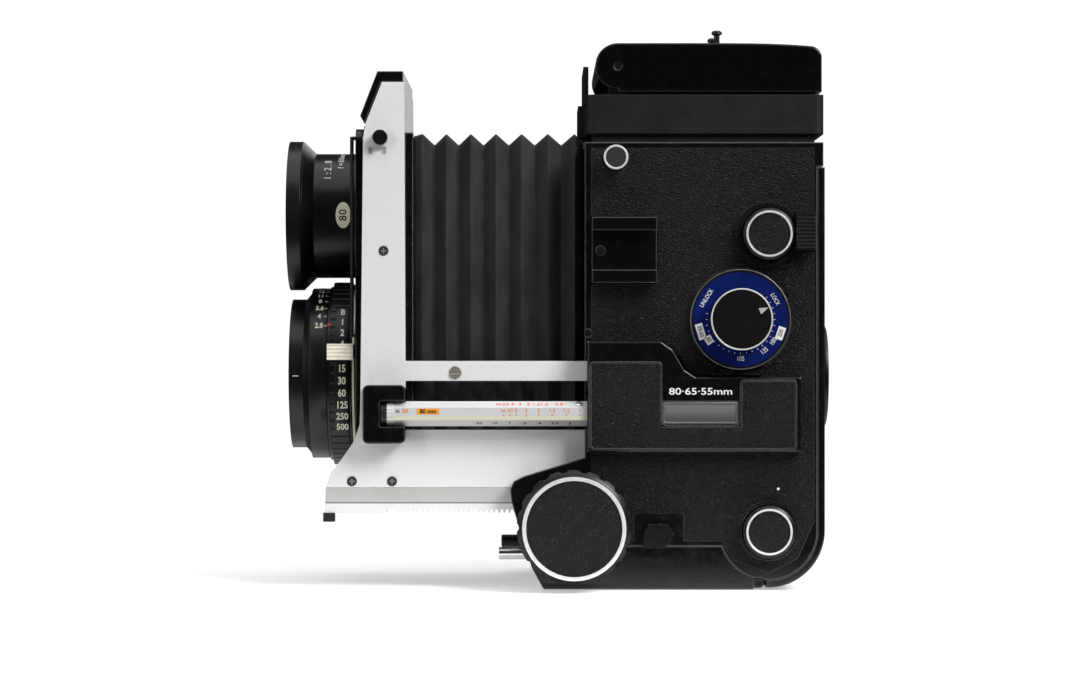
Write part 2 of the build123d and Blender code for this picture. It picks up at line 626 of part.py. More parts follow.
def make_lens_panel():
    panel = block(-34.0, 34.0, PANEL_FRONT, -87.9, 35.0, 141.5)
    panel = soften(panel, 5.0, lambda e: long_edges("Y", 2)(e))
    for z in (TAKING_Z, VIEWING_Z):
        panel -= rod_y(0, z, 17.0, -95, -80)
    save("lens_panel", panel)


def make_viewing_lens():
    ring_rear = PANEL_FRONT
    profile = [(16.5, ring_rear), (19.7, ring_rear), (19.7, -104.4), (23.6, -108.4), (23.6, -112.7),
               (THREAD_R, -112.7), (THREAD_R, -109.0), (21.0, -109.0), (15.6, -105.6), (15.6, -102.0),
               (14.0, -102.0), (14.0, -97.0), (16.5, -97.0)]
    save("viewing_barrel", turned_y(profile, 0, VIEWING_Z))
    save("viewing_glass", convex_glass(15.5, -105.5, -102.1, 2.2, VIEWING_Z))


def convex_glass(radius, front, rear, bulge, z):
    """Lens element whose front face bulges towards -Y."""
    halfway = (radius * 0.55, front - bulge * 0.7, z)
    front_arc = ThreePointArc((0, front - bulge, z), halfway, (radius, front, z))
    side = Line((radius, front, z), (radius, rear, z))
    back = Line((radius, rear, z), (0, rear, z))
    axis_line = Line((0, rear, z), (0, front - bulge, z))
    face = make_face(Wire([front_arc.edge(), side.edge(), back.edge(), axis_line.edge()]))
    return revolve(face, Axis((0, 0, z), (0, 1, 0)), 360)


def make_shutter_housing():
    """Core that carries the aperture ring, the speed ring and the cocking ring."""
    core = 24.6
    profile = [(14.2, PANEL_FRONT), (28.2, PANEL_FRONT), (28.2, -90.9), (core, -90.9), (core, -92.1),
               (28.2, -92.1), (28.2, -92.7), (core, -92.7), (core, -98.7), (27.5, -98.7), (27.5, -99.6),
               (core, -99.6), (core, -105.6), (14.2, -105.6)]
    save("shutter_housing", turned_y(profile, 0, TAKING_Z))


def make_taking_front_ring():
    profile = [(14.2, -105.7), (25.6, -105.7), (23.5, -107.4), (23.5, -111.8), (THREAD_R, -111.8),
               (THREAD_R, -108.3), (21.0, -108.3), (14.2, -106.2)]
    save("taking_front_ring", turned_y(profile, 0, TAKING_Z))
    save("taking_glass", convex_glass(14.0, -104.6, -100.0, 1.6, TAKING_Z))


def ribbed_ring(inner, outer, y0, y1, ribs, rib_r):
    """Control ring with scallops round its rim."""
    ring = turned_y([(inner, y0), (outer, y0), (outer, y1), (inner, y1)], 0, TAKING_Z)
    for i in range(ribs):
        angle = 2 * math.pi * i / ribs
        x, z = (outer + 0.25) * math.cos(angle), TAKING_Z + (outer + 0.25) * math.sin(angle)
        ring -= rod_y(x, z, rib_r, y0, y1)
    return ring


def make_rings():
    save("aperture_ring", ribbed_ring(24.9, 26.8, -105.45, -99.75, 48, 0.5))
    save("speed_ring", ribbed_ring(24.9, 28.9, -98.55, -92.85, 60, 0.5))


def make_cocking_lever():
    """Ring in its groove with a fluted finger tab on the left side."""
    tab_z0, tab_z1 = 70.1, 75.1
    lever = turned_y([(24.9, -91.85), (27.9, -91.85), (27.9, -91.15), (24.9, -91.15)], 0, TAKING_Z)
    lever += block(26.5, 34.6, -91.85, -91.15, 70.6, 74.6)
    tab = block(31.0, 34.6, -99.2, -91.15, tab_z0, tab_z1)
    for i in range(4):
        tab -= rod_y(34.8, tab_z0 + 0.8 + 1.13 * i, 0.4, -99.3, -91)
    save("cocking_lever", lever + tab)


def make_scale_block():
    block_x0, block_x1 = PLATE_OUT, 46.2
    holder = block(block_x0, block_x1, -87.6, -82.3, 44.6, 62.5)
    holder += block(block_x0, block_x1, -82.3, -74.6, 57.9, 62.5)
    holder += block(block_x0, block_x1, -82.3, -74.6, 44.6, 49.5)
    holder = soften(holder, 0.6, lambda e: long_edges("Y", 4)(e) and e.center().X > 45)
    save("scale_block", holder - rod_y(BAR_X, BAR_Z, 1.2 + RUN, -86.0, -80))


def make_scale_bar():
    """Six-sided distance-scale bar that turns in the scale block, with its knob."""
    radius = BAR_FLATS / math.sqrt(3)
    corners = [(BAR_X + radius * math.cos(math.radians(60 * i + 30)), -77.9,
                BAR_Z + radius * math.sin(math.radians(60 * i + 30))) for i in range(6)]
    bar = extrude(make_face(Polyline(*corners, close=True)), 77.9 - 13.5, dir=(0, 1, 0))
    bar += rod_y(BAR_X, BAR_Z, 1.2, -85.9, -77.9)
    knob = rod_y(BAR_X, BAR_Z, 3.5, -82.0, -77.9)
    for i in range(18):
        angle = math.radians(20 * i)
        knob -= rod_y(BAR_X + 3.6 * math.cos(angle), BAR_Z + 3.6 * math.sin(angle), 0.35, -81.5, -78.5)
    save("scale_bar", bar + knob)


def make_lens_bail():
    """Sprung wire that holds the lens panel, on a shaft across the standard."""
    wire = 0.6
    leg_x, leg_y = 35.2, PANEL_FRONT - 1.0
    low_z, inner_x = 77.6, 29.2
    bail = rod_x(BAIL_Y, BAIL_Z, 1.0, -41.0, 41.0)
    for sign in (1, -1):
        x = sign * leg_x
        bail += rod_y(x, BAIL_Z, wire, leg_y, BAIL_Y) + rod_z(x, leg_y, wire, low_z, BAIL_Z)
        bail += rod_x(leg_y, low_z, wire, *sorted((x, sign * inner_x)))
        bail += Pos(x, leg_y, low_z) * Sphere(wire) + Pos(x, leg_y, BAIL_Z) * Sphere(wire)
        bail += rod_x(BAIL_Y, BAIL_Z, 2.3, *sorted((sign * (PLATE_OUT + 0.2), sign * 42.0)))
    save("lens_bail", bail)


# ---------------------------------------------------------------- focusing drive


def pinion(x0, x1):
    points = []
    root, tip = PINION_R - 0.62, PINION_R + 0.48
    half_root = (TOOTH / 2 + 0.2) / root
    half_tip = (TOOTH / 2 - 0.16) / tip
    for i in range(PINION_TEETH):
        centre = math.pi / 2 + 2 * math.pi * i / PINION_TEETH
        for radius, angle in ((root, centre - half_root), (tip, centre - half_tip),
                              (tip, centre + half_tip), (root, centre + half_root)):
            points.append((SHAFT_Y + radius * math.cos(angle), SHAFT_Z + radius * math.sin(angle)))
    return prism(points, x0, x1)


def make_focus_shaft():
    shaft = rod_x(SHAFT_Y, SHAFT_Z, SHAFT_R, -47.5, 47.5)
    save("focus_shaft", shaft + pinion(35.0, 39.2) + pinion(-39.2, -35.0))


def make_focus_knob():
    """Large focus knob: scalloped rim set back from a plain front drum."""
    profile = [(SHAFT_R, 44.6), (9.8, 44.6), (9.8, 46.4), (15.0, 47.4), (17.4, 48.6), (17.4, 53.6),
               (16.4, 54.4), (15.7, 54.8), (15.7, 60.4), (15.1, 61.0), (14.5, 61.0), (14.5, 60.4), (0, 60.4),
               (0, 47.5), (SHAFT_R, 47.5)]
    knob = turned_x(profile, SHAFT_Y, SHAFT_Z)
    scallops = 18
    for i in range(scallops):
        angle = 2 * math.pi * i / scallops
        knob -= rod_x(SHAFT_Y + 18.6 * math.cos(angle), SHAFT_Z + 18.6 * math.sin(angle), 1.9, 47, 55)
    save("focus_knobs", both(knob))


def make_focus_lock():
    outline = [(-2.0, 12.9), (4.6, 12.9), (7.4, 17.0), (5.4, 20.2), (-0.4, 20.2), (-2.0, 17.4)]
    lever = prism(outline, 44.8, 47.6)
    save("focus_lock", lever + rod_x(*LOCK, 1.2, SIDE - 2.0, 45))


# ---------------------------------------------------------------- film transport


def spool_knob(z):
    """Pull-out knob whose shaft end holds one end of a spool."""
    profile = [(0, 43.0), (7.9, 43.0), (7.9, 48.6), (7.0, 49.2), (7.0, 49.6), (6.2, 49.6), (6.2, 49.2),
               (0, 49.2)]
    knob = turned_x(profile, SPOOL_Y, z)
    for i in range(30):
        angle = math.radians(12 * i)
        knob -= rod_x(SPOOL_Y + 8.15 * math.cos(angle), z + 8.15 * math.sin(angle), 0.5, 43.0, 48.4)
    return knob + rod_x(SPOOL_Y, z, SHAFT_R, 28.6, 43.5)


def make_spool_knobs():
    save("upper_spool_knob", spool_knob(UPPER_SPOOL_Z))
    save("lower_spool_knob", spool_knob(LOWER_SPOOL_Z))


def make_back_latch():
    """Sprung latch ring round the upper spool knob, with a ribbed tab at the rear."""
    latch = turned_x([(8.4, 44.8), (9.7, 44.8), (9.7, 46.6), (8.4, 46.6)], SPOOL_Y, UPPER_SPOOL_Z)
    latch += block(44.8, 46.6, SPOOL_Y + 9.0, 43.6 + 4, 104.6, 112.4)
    tab = block(44.8, 49.6, 44.4, 50.3, 103.6, 114.8)
    for i in range(9):
        tab -= rod_y(49.8, 104.6 + 1.15 * i, 0.4, 44, 51)
    save("back_latch", latch + tab)


def make_take_up_spool():
    half = SPOOL_HALF - 1.0
    profile = [(0, -half), (12.0, -half), (12.0, -half + 0.9), (5.4, -half + 0.9), (5.4, half - 0.9),
               (12.0, half - 0.9), (12.0, half), (SHAFT_R + 0.08, half), (SHAFT_R + 0.08, half - 5.0),
               (0, half - 5.0)]
    save("take_up_spool", turned_x(profile, SPOOL_Y, UPPER_SPOOL_Z))


def make_crank():
    profile = [(0, -31.1), (SHAFT_R, -31.1), (SHAFT_R, -44.7), (13.2, -44.7), (13.2, -47.6), (12.4, -48.2),
               (0, -48.2)]
    hub = turned_x(profile, SPOOL_Y, UPPER_SPOOL_Z)
    save("crank_hub", hub)
    # folding arm lying across the hub, pointing to the front
    tip_y = SPOOL_Y - CRANK_ARM
    arm = block(-51.2, -48.9, tip_y, SPOOL_Y, UPPER_SPOOL_Z - 3.6, UPPER_SPOOL_Z + 3.6)
    arm += rod_x(SPOOL_Y, UPPER_SPOOL_Z, 5.2, -51.2, -48.2) + rod_x(tip_y, UPPER_SPOOL_Z, 4.4, -51.2, -48.9)
    profile = [(0, -60.6), (3.2, -60.6), (3.8, -59.0), (3.2, -51.0), (0, -51.0)]
    save("crank_handle", arm + turned_x(profile, tip_y, UPPER_SPOOL_Z))


# ---------------------------------------------------------------- back door


def make_back_door():
    """Back door: flat plate with a rolled foot about the lower spool."""
    outer = DOOR_OUTER - SPOOL_Y
    inner = outer - DOOR_THICK
    half = SIDE - 0.1
    door = block(-half, half, DOOR_OUTER - DOOR_THICK, DOOR_OUTER, LOWER_SPOOL_Z, DOOR_TOP)
    foot = rod_x(SPOOL_Y, LOWER_SPOOL_Z, outer, -half, half)
    foot -= rod_x(SPOOL_Y, LOWER_SPOOL_Z, inner, -half, half)
    foot -= block(-50, 50, 0, HINGE_Y + 0.2, -10, 60)
    foot -= block(-50, 50, 0, 80, LOWER_SPOOL_Z, 60)
    door = soften(door + foot, 0.8, lambda e: long_edges("Z", 50)(e) and e.center().Y > DOOR_OUTER - 0.1)
    for x0, x1 in ((30.0, 45.0), (-45.0, -30.0), (-10.0, 10.0)):
        door -= rod_x(HINGE_Y, HINGE_Z, 2.3, x0, x1)
    for x0, x1 in ((10.0, 30.0), (-30.0, -10.0)):
        door += rod_x(HINGE_Y, HINGE_Z, 1.5, x0, x1)
    door -= rod_x(HINGE_Y, HINGE_Z, DOOR_PIN_R + RUN, -50, 50)
    door -= rod_y(0, FILM_DIAL_Z, 2.0 + RUN, 50, 60)
    save("back_door", door)


def make_film_type_dial():
    profile = [(0, DOOR_OUTER + 0.2), (16.0, DOOR_OUTER + 0.2), (16.0, 54.6), (15.2, 55.2), (0, 55.2)]
    dial = turned_y(profile, 0, FILM_DIAL_Z)
    dial += rod_y(0, FILM_DIAL_Z, 2.0, DOOR_OUTER - DOOR_THICK, DOOR_OUTER + 0.5)
    save("film_type_dial", dial)


def make_pressure_plate():
    plate = block(-31.5, 31.5, 49.3, 50.5, 37.0, 94.5)
    plate = soften(plate, 0.4, lambda e: long_edges("X", 20)(e) and e.center().Y < 49.5)
    for z in (50.0, 81.0):
        plate += block(-1.5, 1.5, 50.5, 51.2, z - 6, z + 6)
    save("pressure_plate", plate)


# ---------------------------------------------------------------- build

os.makedirs("parts", exist_ok=True)

for make in (make_body_casting, make_covers, make_left_leather, make_right_leather, make_base_plate,
             make_tripod_bush, make_shoe, make_strap_lugs, make_scale_housing, make_dial_plate,
             make_selector_knob, make_screen_and_mirror, make_film_rollers, make_bellows,
             make_release_fittings, make_counter_window, make_body_screws, make_hood_base,
             make_hinge_pins, make_hood_lid, make_lid_studs, make_flaps, make_magnifier,
             make_side_plates, make_carriage_screws, make_standard_frame, make_name_cap, make_racks,
             make_lens_panel, make_viewing_lens, make_shutter_housing, make_taking_front_ring, make_rings,
             make_cocking_lever, make_scale_block, make_scale_bar, make_lens_bail, make_focus_shaft,
             make_focus_knob, make_focus_lock, make_spool_knobs, make_back_latch, make_take_up_spool,
             make_crank, make_back_door, make_film_type_dial, make_pressure_plate):
    make()
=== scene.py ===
"""The looks of a twin lens reflex camera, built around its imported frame.

Lengths are in millimetres until a helper hands them to Blender.
+Z is up, the lenses face -Y and +X is the user's left side.
"""
import json
import math

import bmesh
import bpy
from mathutils import Matrix, Vector


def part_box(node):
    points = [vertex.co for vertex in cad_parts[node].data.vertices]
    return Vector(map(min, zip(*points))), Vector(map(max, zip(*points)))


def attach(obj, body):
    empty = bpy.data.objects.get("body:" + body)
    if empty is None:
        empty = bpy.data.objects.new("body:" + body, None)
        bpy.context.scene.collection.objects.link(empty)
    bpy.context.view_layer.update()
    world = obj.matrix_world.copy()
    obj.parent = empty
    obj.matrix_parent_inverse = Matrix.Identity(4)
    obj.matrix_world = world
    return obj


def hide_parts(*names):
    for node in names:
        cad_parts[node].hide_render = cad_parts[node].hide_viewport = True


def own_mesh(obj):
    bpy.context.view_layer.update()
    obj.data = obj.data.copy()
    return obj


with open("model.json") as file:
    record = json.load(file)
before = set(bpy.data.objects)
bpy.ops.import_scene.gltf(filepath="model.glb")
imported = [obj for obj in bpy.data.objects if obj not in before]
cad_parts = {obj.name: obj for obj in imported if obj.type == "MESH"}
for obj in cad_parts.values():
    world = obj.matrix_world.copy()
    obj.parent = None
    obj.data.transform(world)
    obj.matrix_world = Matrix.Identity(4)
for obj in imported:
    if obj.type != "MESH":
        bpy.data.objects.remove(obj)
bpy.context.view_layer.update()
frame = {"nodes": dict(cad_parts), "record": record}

MM = 0.001
PROUD = 0.04                 # how far engraved and filled figures stand out
X, Y, Z = Vector((1, 0, 0)), Vector((0, 1, 0)), Vector((0, 0, 1))

# The reading direction and the up direction of each side of the camera.
LEFT = (Y, Z)
RIGHT = (-Y, Z)
BACK = (-X, Z)
AXIS_TURN = {"X": (0, math.pi / 2, 0), "Y": (math.pi / 2, 0, 0), "Z": (0, 0, 0)}


def low(node):
    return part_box(node)[0] / MM


def high(node):
    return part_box(node)[1] / MM


def middle(node):
    return (low(node) + high(node)) / 2


# ---------------------------------------------------------------- shader board


class Value:
    """A shader value that takes part in sums like a plain number."""

    def __init__(self, board, socket):
        self.board = board
        self.socket = socket

    def __add__(self, other):
        return self.board.math("ADD", self, other)

    def __sub__(self, other):
        return self.board.math("SUBTRACT", self, other)

    def __rsub__(self, other):
        return self.board.math("SUBTRACT", other, self)

    def __mul__(self, other):
        return self.board.math("MULTIPLY", self, other)

    def __pow__(self, other):
        return self.board.math("POWER", self, other)

    def __abs__(self):
        return self.board.math("ABSOLUTE", self)

    __radd__ = __add__
    __rmul__ = __mul__

    def least(self, other):
        return self.board.math("MINIMUM", self, other)

    def most(self, other):
        return self.board.math("MAXIMUM", self, other)

    def wave(self):
        return self.board.math("SINE", self)

    def rise(self, start, end):
        """0 before start and 1 after end, with a smooth slope between them."""
        sockets = {"Value": self, "From Min": start, "From Max": end}
        return self.board.node("MapRange", {"interpolation_type": "SMOOTHSTEP"}, sockets)

    def fall(self, start, end):
        return 1 - self.rise(start, end)


class Board:
    """The node board of one finish, round one Principled shader."""

    def __init__(self, name, **constants):
        self.material = bpy.data.materials.new(name)
        self.material.use_nodes = True
        self.tree = self.material.node_tree
        self.shader = self.tree.nodes["Principled BSDF"]
        for socket, value in constants.items():
            self.shader.inputs[socket.replace("_", " ")].default_value = value

    def node(self, kind, settings=None, sockets=None, output=0):
        made = self.tree.nodes.new("ShaderNode" + kind)
        for setting, value in (settings or {}).items():
            setattr(made, setting, value)
        for socket, value in (sockets or {}).items():
            self.feed(made.inputs[socket], value)
        return Value(self, made.outputs[output])

    def feed(self, socket, value):
        if isinstance(value, Value):
            self.tree.links.new(value.socket, socket)
        else:
            socket.default_value = value

    def math(self, operation, first, second=0.0):
        return self.node("Math", {"operation": operation}, {0: first, 1: second})

    def mix(self, share, first, second):
        return self.node("Mix", {"data_type": "RGBA"}, {0: share, 6: first, 7: second}, output=2)

    def place(self, centre=(0, 0, 0), stretch=(1, 1, 1)):
        """Object coordinates in millimetres from a centre, stretched along each axis."""
        where = self.node("TexCoord", output=3)
        shift = [-c * s for c, s in zip(centre, stretch)]
        scale = [s / MM for s in stretch]
        return self.node("Mapping", {}, {"Vector": where, "Location": shift, "Scale": scale})

    def split(self, vector):
        return [self.node("SeparateXYZ", {}, {0: vector}, output=i) for i in range(3)]

    def noise(self, where, scale, detail=2.0, roughness=0.5):
        sockets = {"Vector": where, "Scale": scale, "Detail": detail, "Roughness": roughness}
        return self.node("TexNoise", {}, sockets)

    def cells(self, where, scale):
        """Distance from the nearest border of a pattern of cells."""
        return self.node("TexVoronoi", {"feature": "DISTANCE_TO_EDGE"}, {"Vector": where, "Scale": scale})

    def radius(self, node, axis):
        """Distance from the axis of a turned node, in millimetres."""
        parts = self.split(self.place(middle(node)))
        first, second = [part for part, name in zip(parts, "XYZ") if name != axis]
        return (first * first + second * second) ** 0.5

    def rounded(self, radius):
        """Normal of the surface with its edges rounded off by a radius in millimetres."""
        return self.node("Bevel", {"samples": 4}, {"Radius": radius * MM})

    def edge_share(self, radius):
        """Near 1 on an edge or corner, 0 on a flat stretch."""
        facing = self.node("NewGeometry", output=1)
        sockets = {0: self.rounded(radius), 1: facing}
        same = self.node("VectorMath", {"operation": "DOT_PRODUCT"}, sockets, output=1)
        return (1 - same).rise(0.02, 0.22)

    def bump(self, height, depth, normal=None):
        """Bump of a depth in millimetres, on top of a rounded normal."""
        sockets = {"Distance": depth * MM, "Height": height}
        if normal:
            sockets["Normal"] = normal
        return self.node("Bump", {}, sockets)

    def finish(self, **varying):
        for socket, value in varying.items():
            self.feed(self.shader.inputs[socket.replace("_", " ")], value)
        return self.material


def rgb(red, green, blue):
    return (red, green, blue, 1.0)


# ---------------------------------------------------------------- finishes


def enamel(name, colour, gloss, peel, wear, edge, edge_highlight):
    """Baked black enamel: orange peel, dust in the gloss, edges painted pale as a highlight and worn to
    brass in places.
    """
    board = Board(name, Specular_IOR_Level=0.42)
    where = board.place()
    dust = board.noise(where, 0.35, 4.0, 0.6)
    rough = gloss + 0.14 * dust.rise(0.35, 0.75)
    rub = board.noise(where, 0.22, 5.0, 0.65).rise(0.60 - wear, 0.66 - wear)
    grit = board.noise(where, 2.6, 3.0, 0.6).rise(0.42, 0.58)
    worn = board.edge_share(0.35) * rub * grit
    metal = board.mix(board.noise(where, 0.8), rgb(0.62, 0.56, 0.46), rgb(0.40, 0.34, 0.24))
    shade = board.mix(dust, rgb(*colour), rgb(*(1.6 * c for c in colour)))
    # painted highlight: the edges are painted pale grey, as if catching the light
    shade = board.mix(board.edge_share(0.7) * edge_highlight, shade, rgb(0.22, 0.22, 0.23))
    height = board.noise(where, 1.3, 3.0, 0.55)
    normal = board.bump(height, peel, board.rounded(edge))
    return board.finish(Base_Color=board.mix(worn, shade, metal), Metallic=worn * 0.9,
                        Roughness=rough + worn * 0.12, Normal=normal)


def wrinkle_enamel():
    """Fine matt wrinkle finish of the folded hood's side band."""
    board = Board("wrinkle_enamel", Specular_IOR_Level=0.28)
    where = board.place()
    grain = board.noise(where, 3.4, 3.0, 0.6)
    patch = board.noise(where, 0.10, 3.0)
    shade = board.mix(patch.rise(0.35, 0.7), rgb(0.004, 0.004, 0.0045), rgb(0.008, 0.008, 0.0085))
    normal = board.bump(grain, 0.10, board.rounded(0.5))
    return board.finish(Base_Color=shade, Roughness=0.46 + 0.12 * grain, Normal=normal)


def leather(name, pebble):
    """Black leatherette: uneven pebbles with creases between them, shiny on top."""
    board = Board(name, Specular_IOR_Level=0.27)
    where = board.place((0, 0, 0), (1.0, 0.62, 1.0))
    bend = board.node("TexNoise", {}, {"Vector": where, "Scale": 0.6, "Detail": 2.0}, output=1)
    shift = board.node("VectorMath", {"operation": "SCALE"}, {0: bend, "Scale": 1.3})
    bent = board.node("VectorMath", {"operation": "ADD"}, {0: where, 1: shift})
    crease = board.cells(bent, pebble).rise(0.02, 0.30)
    pores = board.cells(bent, pebble * 2.7).rise(0.0, 0.25)
    swell = board.noise(bent, 0.8, 3.0, 0.6)
    height = crease * 0.62 + pores * 0.16 + swell * 0.42
    # painted shade: the creases and pores are painted darker than the pebble tops
    tone = board.mix(height.rise(0.35, 1.0), rgb(0.0008, 0.0008, 0.0010), rgb(0.0045, 0.0046, 0.0050))
    shine = 0.42 - 0.18 * height.rise(0.5, 1.0)
    return board.finish(Base_Color=tone, Roughness=shine, Normal=board.bump(height, 0.55))


def bellows_cloth():
    """Black cloth of the bellows: fine weave, fuzz, and crests painted paler in patches as a highlight."""
    board = Board("bellows_cloth", Specular_IOR_Level=0.18, Sheen_Weight=0.06, Sheen_Roughness=0.5)
    board.shader.inputs["Sheen Tint"].default_value = rgb(0.55, 0.60, 0.72)
    where = board.place()
    along, up = board.split(where)[1:]
    weave = (up * 9.0).wave() * 0.5 + (along * 9.0).wave() * 0.5
    fuzz = board.noise(where, 1.9, 4.0, 0.7)
    soil = board.noise(board.place((0, 0, 0), (1, 1.6, 0.5)), 0.16, 3.0)
    # painted highlight: the fold edges are painted paler grey in patches
    crest = board.edge_share(0.9) * board.noise(where, 0.5, 4.0).rise(0.35, 0.65)
    tone = board.mix(soil.rise(0.3, 0.7), rgb(0.016, 0.0165, 0.018), rgb(0.026, 0.027, 0.029))
    tone = board.mix(crest * 0.5, tone, rgb(0.07, 0.073, 0.078))
    height = fuzz * 0.7 + weave * 0.12
    return board.finish(Base_Color=tone, Roughness=0.55 + 0.2 * fuzz, Normal=board.bump(height, 0.16))


def silver_enamel():
    """Frosted silver lacquer over metal, with fine sparkle and a few dark specks."""
    board = Board("silver_enamel", Specular_IOR_Level=0.5)
    where = board.place()
    frost = board.noise(where, 5.5, 3.0, 0.7)
    cloud = board.noise(where, 0.07, 3.0, 0.6)
    speck = board.noise(where, 0.55, 5.0, 0.7).rise(0.71, 0.74)
    grime = board.edge_share(0.5) * board.noise(where, 0.3, 4.0).rise(0.45, 0.7)
    tone = board.mix(frost.rise(0.3, 0.7), rgb(0.78, 0.78, 0.775), rgb(0.92, 0.92, 0.915))
    tone = board.mix(cloud.rise(0.3, 0.8) * 0.22, tone, rgb(0.74, 0.74, 0.73))
    tone = board.mix(speck * 0.6, tone, rgb(0.20, 0.19, 0.17))
    tone = board.mix(grime * 0.25, tone, rgb(0.30, 0.28, 0.25))
    normal = board.bump(frost, 0.035, board.rounded(0.3))
    return board.finish(Base_Color=tone, Metallic=0.22 - 0.15 * cloud, Roughness=0.42 + 0.12 * frost,
                        Normal=normal)


def machined_metal():
    """Milled steel of the rails, brushed lengthwise, with oil in the teeth."""
    board = Board("machined_metal", Specular_IOR_Level=0.5)
    lines = board.noise(board.place((0, 0, 0), (1.0, 0.03, 3.0)), 2.4, 4.0, 0.7)
    stain = board.noise(board.place(), 0.12, 4.0)
    along, up = board.split(board.place(low("racks")))[1:]
    on_rack = along.fall(100, 101) * up.rise(0.0, 0.1)
    seam = up.rise(5.55, 5.65) * up.fall(5.85, 6.1)
    pale = up.fall(5.6, 5.7)
    foot = along.fall(3.55, 3.65) * up.fall(2.7, 2.8)
    tone = board.mix(lines, rgb(0.66, 0.65, 0.63), rgb(0.88, 0.88, 0.87))
    tone = board.mix(stain.rise(0.45, 0.8) * 0.3, tone, rgb(0.52, 0.50, 0.46))
    tone = board.mix(pale * 0.8, tone, rgb(0.88, 0.88, 0.87))
    tone = board.mix(seam * on_rack * 0.8, tone, rgb(0.10, 0.10, 0.10))
    tone = board.mix(foot, tone, rgb(0.015, 0.015, 0.015))
    metal = (0.5 - 0.4 * pale) * (1 - foot)
    return board.finish(Base_Color=tone, Metallic=metal, Roughness=0.30 + 0.18 * lines,
                        Normal=board.bump(lines, 0.02, board.rounded(0.12)))


def bare_metal(name, colour, rough, scratch, metallic=1.0):
    """Plated or turned metal with fine scratches and faint tarnish."""
    board = Board(name, Metallic=metallic)
    where = board.place()
    lines = board.noise(board.place((0, 0, 0), (1.0, 0.15, 2.0)), 3.0, 4.0, 0.7)
    tarnish = board.noise(where, 0.5, 4.0, 0.6)
    tone = board.mix(tarnish.rise(0.4, 0.8) * 0.5, rgb(*colour), rgb(*(0.6 * c for c in colour)))
    normal = board.bump(lines, scratch, board.rounded(0.15))
    return board.finish(Base_Color=tone, Roughness=rough + 0.14 * tarnish, Normal=normal)


def anodised(name, wear):
    """Satin black anodising with turning marks, rubbed grey on the edges."""
    board = Board(name, Specular_IOR_Level=0.32)
    where = board.place()
    marks = board.noise(board.place((0, 0, 0), (0.2, 3.0, 0.2)), 3.0, 3.0)
    smear = board.noise(where, 0.25, 4.0, 0.6)
    rubbed = board.edge_share(0.3) * board.noise(where, 0.9, 4.0, 0.6).rise(0.58 - wear, 0.70 - wear)
    shade = board.mix(smear, rgb(0.0025, 0.0025, 0.003), rgb(0.006, 0.006, 0.007))
    tone = board.mix(rubbed * 0.8, shade, rgb(0.30, 0.28, 0.24))
    normal = board.bump(marks, 0.012, board.rounded(0.28))
    return board.finish(Base_Color=tone, Metallic=0.7 * rubbed, Roughness=0.26 + 0.14 * smear,
                        Normal=normal)


def lens_black():
    """Anodised lens barrels: satin, with turned grooves and filter threads inside the rims."""
    board = Board("lens_black", Specular_IOR_Level=0.36)
    where = board.place()
    along = board.split(where)[1]
    thread_zone = 0.0
    for node in ("viewing_glass", "taking_glass"):
        reach = board.radius(node, "Y")
        thread_zone = reach.rise(22.3, 22.5) * reach.fall(22.9, 23.1) + thread_zone
    thread = (along * (2 * math.pi / 0.75)).wave() * thread_zone * along.fall(-108.0, -107.5)
    marks = board.noise(board.place((0, 0, 0), (0.15, 4.0, 0.15)), 3.0, 3.0)
    smear = board.noise(where, 0.2, 4.0, 0.6)
    rubbed = board.edge_share(0.25) * board.noise(where, 1.1, 4.0, 0.6).rise(0.60, 0.70)
    shade = board.mix(smear, rgb(0.003, 0.003, 0.004), rgb(0.007, 0.007, 0.009))
    tone = board.mix(rubbed * 0.6, shade, rgb(0.26, 0.25, 0.23))
    height = marks * 0.06 + thread
    return board.finish(Base_Color=tone, Roughness=0.25 + 0.12 * smear,
                        Normal=board.bump(height, 0.12, board.rounded(0.2)))


def dull_black():
    """Matt black lacquer of the flaps, spool and pressure plate."""
    board = Board("dull_black", Specular_IOR_Level=0.3)
    where = board.place()
    grain = board.noise(where, 3.0, 3.0)
    rubbed = board.edge_share(0.2) * board.noise(where, 0.8, 3.0).rise(0.55, 0.7)
    tone = board.mix(grain, rgb(0.010, 0.010, 0.010), rgb(0.018, 0.018, 0.018))
    tone = board.mix(rubbed * 0.5, tone, rgb(0.2, 0.19, 0.17))
    return board.finish(Base_Color=tone, Roughness=0.62 + 0.15 * grain, Normal=board.bump(grain, 0.04))


def coated_glass(name, tint, coat):
    """Clear glass with a coloured coating and a little dust."""
    board = Board(name, Transmission_Weight=1.0, IOR=1.52)
    board.shader.inputs["Specular Tint"].default_value = rgb(*coat)
    dust = board.noise(board.place(), 1.5, 6.0, 0.7).rise(0.60, 0.75)
    tone = board.mix(dust * 0.2, rgb(*tint), rgb(0.8, 0.8, 0.8))
    return board.finish(Base_Color=tone, Roughness=0.01 + 0.10 * dust)


def window_glass():
    """Smoked window over the distance scale, painted lighter towards the top as a reflection, with painted
    highlights on its edges.
    """
    board = Board("window_glass", Specular_IOR_Level=0.6, Coat_Weight=0.6, Coat_Roughness=0.05)
    height = board.split(board.place(middle("scale_window")))[2]
    haze = board.noise(board.place(), 0.4, 4.0)
    # painted reflection: the glass is painted lighter towards its top
    tone = board.mix(height.rise(-2.6, 1.6), rgb(0.075, 0.080, 0.078), rgb(0.165, 0.172, 0.168))
    # painted highlight: the glass's edges are painted pale
    tone = board.mix(board.edge_share(0.35) * 0.7, tone, rgb(0.75, 0.75, 0.72))
    return board.finish(Base_Color=tone, Roughness=0.12 + 0.12 * haze, Normal=board.rounded(0.3))


